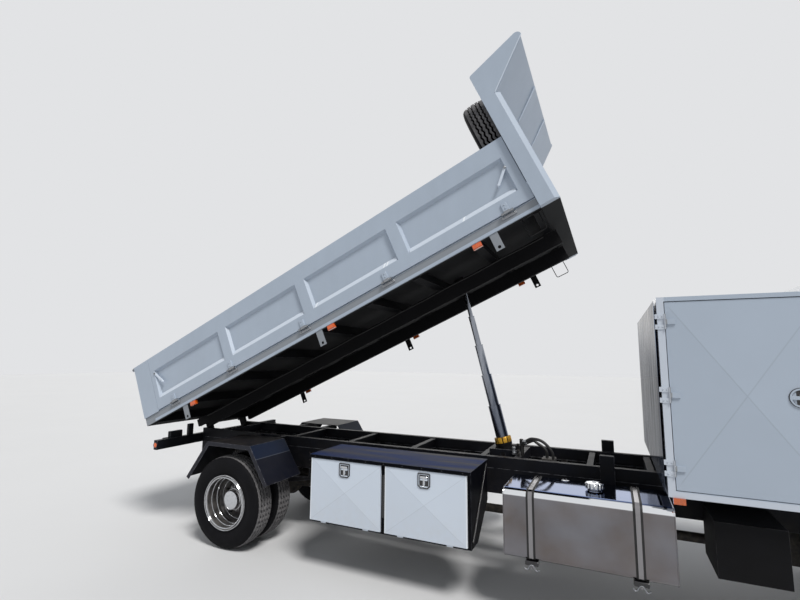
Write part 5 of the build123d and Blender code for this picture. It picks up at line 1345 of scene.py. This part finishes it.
    def nose(self):
        """Roof lamps, corner indicators, grab bars, lower panel trim and the headlamps' lenses."""
        marks, trim, lamps = Shape(), Shape(), Shape()
        for y in (-0.80, -0.27, 0.27, 0.80):
            marks.slab(front(0.72, y, 2.858), X, Y, (0.060, 0.110, 0.016), 0.02, 0.006)
        grab = ((1.240, 0.30), (1.268, 0.31), (1.268, 0.55), (1.268, 0.79), (1.240, 0.80))
        for way in WAYS:
            marks.slab(front(NOSE_FACE, way * 0.985, 1.450), Y, Z, (0.120, 0.260, 0.012), 0.03, 0.004)
            trim.sweep(smooth([front(x, way * y, 1.80) for x, y in grab], 24), circle(0.012, 10), Z)
            for y in (0.885, 1.035):
                lamps.lathe([(0, 0.070), (0.008, 0.068), (0.012, 0.062), (0.016, 0.0372), (0.017, 0)],
                            front(1.2845, way * y, 0.620), X, 40)
        marks.piece("cab_marker_lamps", "cab", "lamp_red", "lens_amber")
        trim.slab(front(NOSE_FACE, 0, 1.120), Y, Z, (1.90, 0.090, 0.010), 0.02, 0.003)
        trim.piece("cab_nose_trim", "cab", "trim_dark", "trim_plastic")
        lamps.piece("headlamp_lenses", "chassis", "lamp_red", "lens_clear")


# Chassis

class ChassisOperator(Operator):
    """Frame bolts, air lines, axle U-bolts and the tail-lamp bar's fittings"""
    bl_idname = "tipper.chassis"
    bl_label = "Chassis"

    def execute(self, context):
        self.bolts()
        self.lines()
        self.u_bolts()
        self.tail()
        return {"FINISHED"}

    def bolts(self):
        """Groups of bolt heads on the outside of the rails, at each cross member and spring hanger."""
        shape = Shape()
        member = ((-0.02, 0.90), (0.02, 0.90), (-0.02, 0.99), (0.02, 0.99))
        hanger = ((-0.025, 0.84), (0.025, 0.84), (0, 0.90))
        for places, group in (((-1.195, -0.600, 0.640, 1.500, 2.400, 3.600, 4.500), member),
                              ((-0.655, 0.655, 5.525, 6.875), hanger)):
            for way in WAYS:
                for x in places:
                    for dx, z in group:
                        shape.bolt(rear(x + dx, way * RAIL_FACE, z), way * Y, 0.010)
        shape.piece("frame_bolts", "chassis", "cast_grey", "cast_metal")

    def lines(self):
        """Two air lines inside the right rail and a loom inside the left: slow sags between the clips."""
        shape, x = Shape(), np.linspace(-1.10, 4.70, 117)
        for y, z, size in ((-0.335, 1.000, 0.006), (-0.322, 0.985, 0.006), (0.330, 0.995, 0.012)):
            sag = 0.008 * np.abs(np.sin(x * math.pi / 0.6))
            shape.sweep(np.stack([REAR_X + x, np.full_like(x, y), z - sag], -1), circle(size, 8), Y)
        shape.piece("air_lines", "chassis", "chassis_black", "trim_rubber")

    def u_bolts(self):
        """Two bows with their legs over each spring seat, with nuts under the plate."""
        shape, middle, half = Shape(), 0.379, 0.047
        for x, seat in ((0.0, 0.590), (FRONT_X - REAR_X, 0.485)):
            bow = [(-half, seat - 0.10), (-half, seat + 0.060), (-0.030, seat + 0.082), (0.030, seat + 0.082),
                   (half, seat + 0.060), (half, seat - 0.10)]
            for way in WAYS:
                for dx in (-0.065, 0.065):
                    path = smooth([rear(x + dx, way * (middle + y), z) for y, z in bow], 32)
                    shape.sweep(path, circle(0.010, 8), X)
                    for y in (-half, half):
                        shape.bolt(rear(x + dx, way * (middle + y), seat - 0.095), -Z, 0.014)
        shape.piece("axle_u_bolts", "chassis", "cast_grey", "cast_metal")

    def tail(self):
        """A folded bright bracket beside the lamp bar; on the bar two blocks, end reflectors and lenses."""
        bracket, blocks, lenses = Shape(), Shape(), Shape()
        bracket.slab(rear(-1.336, -0.985, 1.045), Y, Z, (0.090, 0.130, 0.008), 0.012, 0.002)
        bracket.slab(rear(-1.340, -0.940, 1.045), X, Z, (0.020, 0.120, 0.006), 0.004, 0.002)
        bracket.piece("tail_bracket", "chassis", "hoist_chrome", "zinc")
        bar, reach, height = LAMP_BAR
        blocks.slab(rear(bar, -0.86, 1.142), X, Z, (0.052, 0.090, 0.190), 0.008, 0.004)
        blocks.slab(rear(bar, -0.62, 1.165), X, Z, (0.040, 0.170, 0.080), 0.006, 0.003)
        for way in WAYS:
            end = rear(bar, way * reach, height)
            blocks.lathe([(0, 0.036), (0.005, 0.036), (0.006, 0.030)], end, way * Y, 32)
            blocks.lathe([(0.001, 0.030), (0.005, 0.029), (0.009, 0.018), (0.010, 0)], end, way * Y, 32, 1)
            for y in (0.83, 0.95, 1.07):
                lenses.lathe([(0, 0.040), (0.004, 0.040), (0.009, 0.034), (0.011, 0)],
                             rear(bar - 0.0385, way * y, height), -X, 32)
        blocks.piece("tail_blocks", "chassis", "chassis_black", "chassis_paint", "lens_amber")
        lenses.piece("tail_lenses", "chassis", "lamp_red", "lens_red")


OPERATORS = (StageOperator, FinishesOperator, TyresOperator, WheelNutsOperator, TankOperator,
             ToolboxesOperator, BedOperator, HeadboardOperator, HoistOperator, CanopyOperator, CabOperator,
             ChassisOperator)


class TipperPanel(Panel):
    """Sizes, colours and steps of the tipper truck"""
    bl_idname = "VIEW3D_PT_tipper"
    bl_label = "Tipper Truck"
    bl_space_type = "VIEW_3D"
    bl_region_type = "UI"
    bl_category = "Tipper"

    def draw(self, context):
        for group in (context.scene.tipper_sizes, context.scene.tipper_colours):
            box = self.layout.box()
            for label in group.__annotations__:
                box.prop(group, label)
        for operator in OPERATORS:
            self.layout.operator(operator.bl_idname)


CLASSES = (TipperSizes, TipperColours, *OPERATORS, TipperPanel)


def register():
    for kind in CLASSES:
        bpy.utils.register_class(kind)
    bpy.types.Scene.tipper_sizes = PointerProperty(type=TipperSizes)
    bpy.types.Scene.tipper_colours = PointerProperty(type=TipperColours)


def unregister():
    del bpy.types.Scene.tipper_sizes, bpy.types.Scene.tipper_colours
    for kind in reversed(CLASSES):
        bpy.utils.unregister_class(kind)


def main():
    register()
    for operator in OPERATORS:
        group, label = operator.bl_idname.split(".")
        getattr(getattr(bpy.ops, group), label)()


if __name__ == "__main__":
    main()
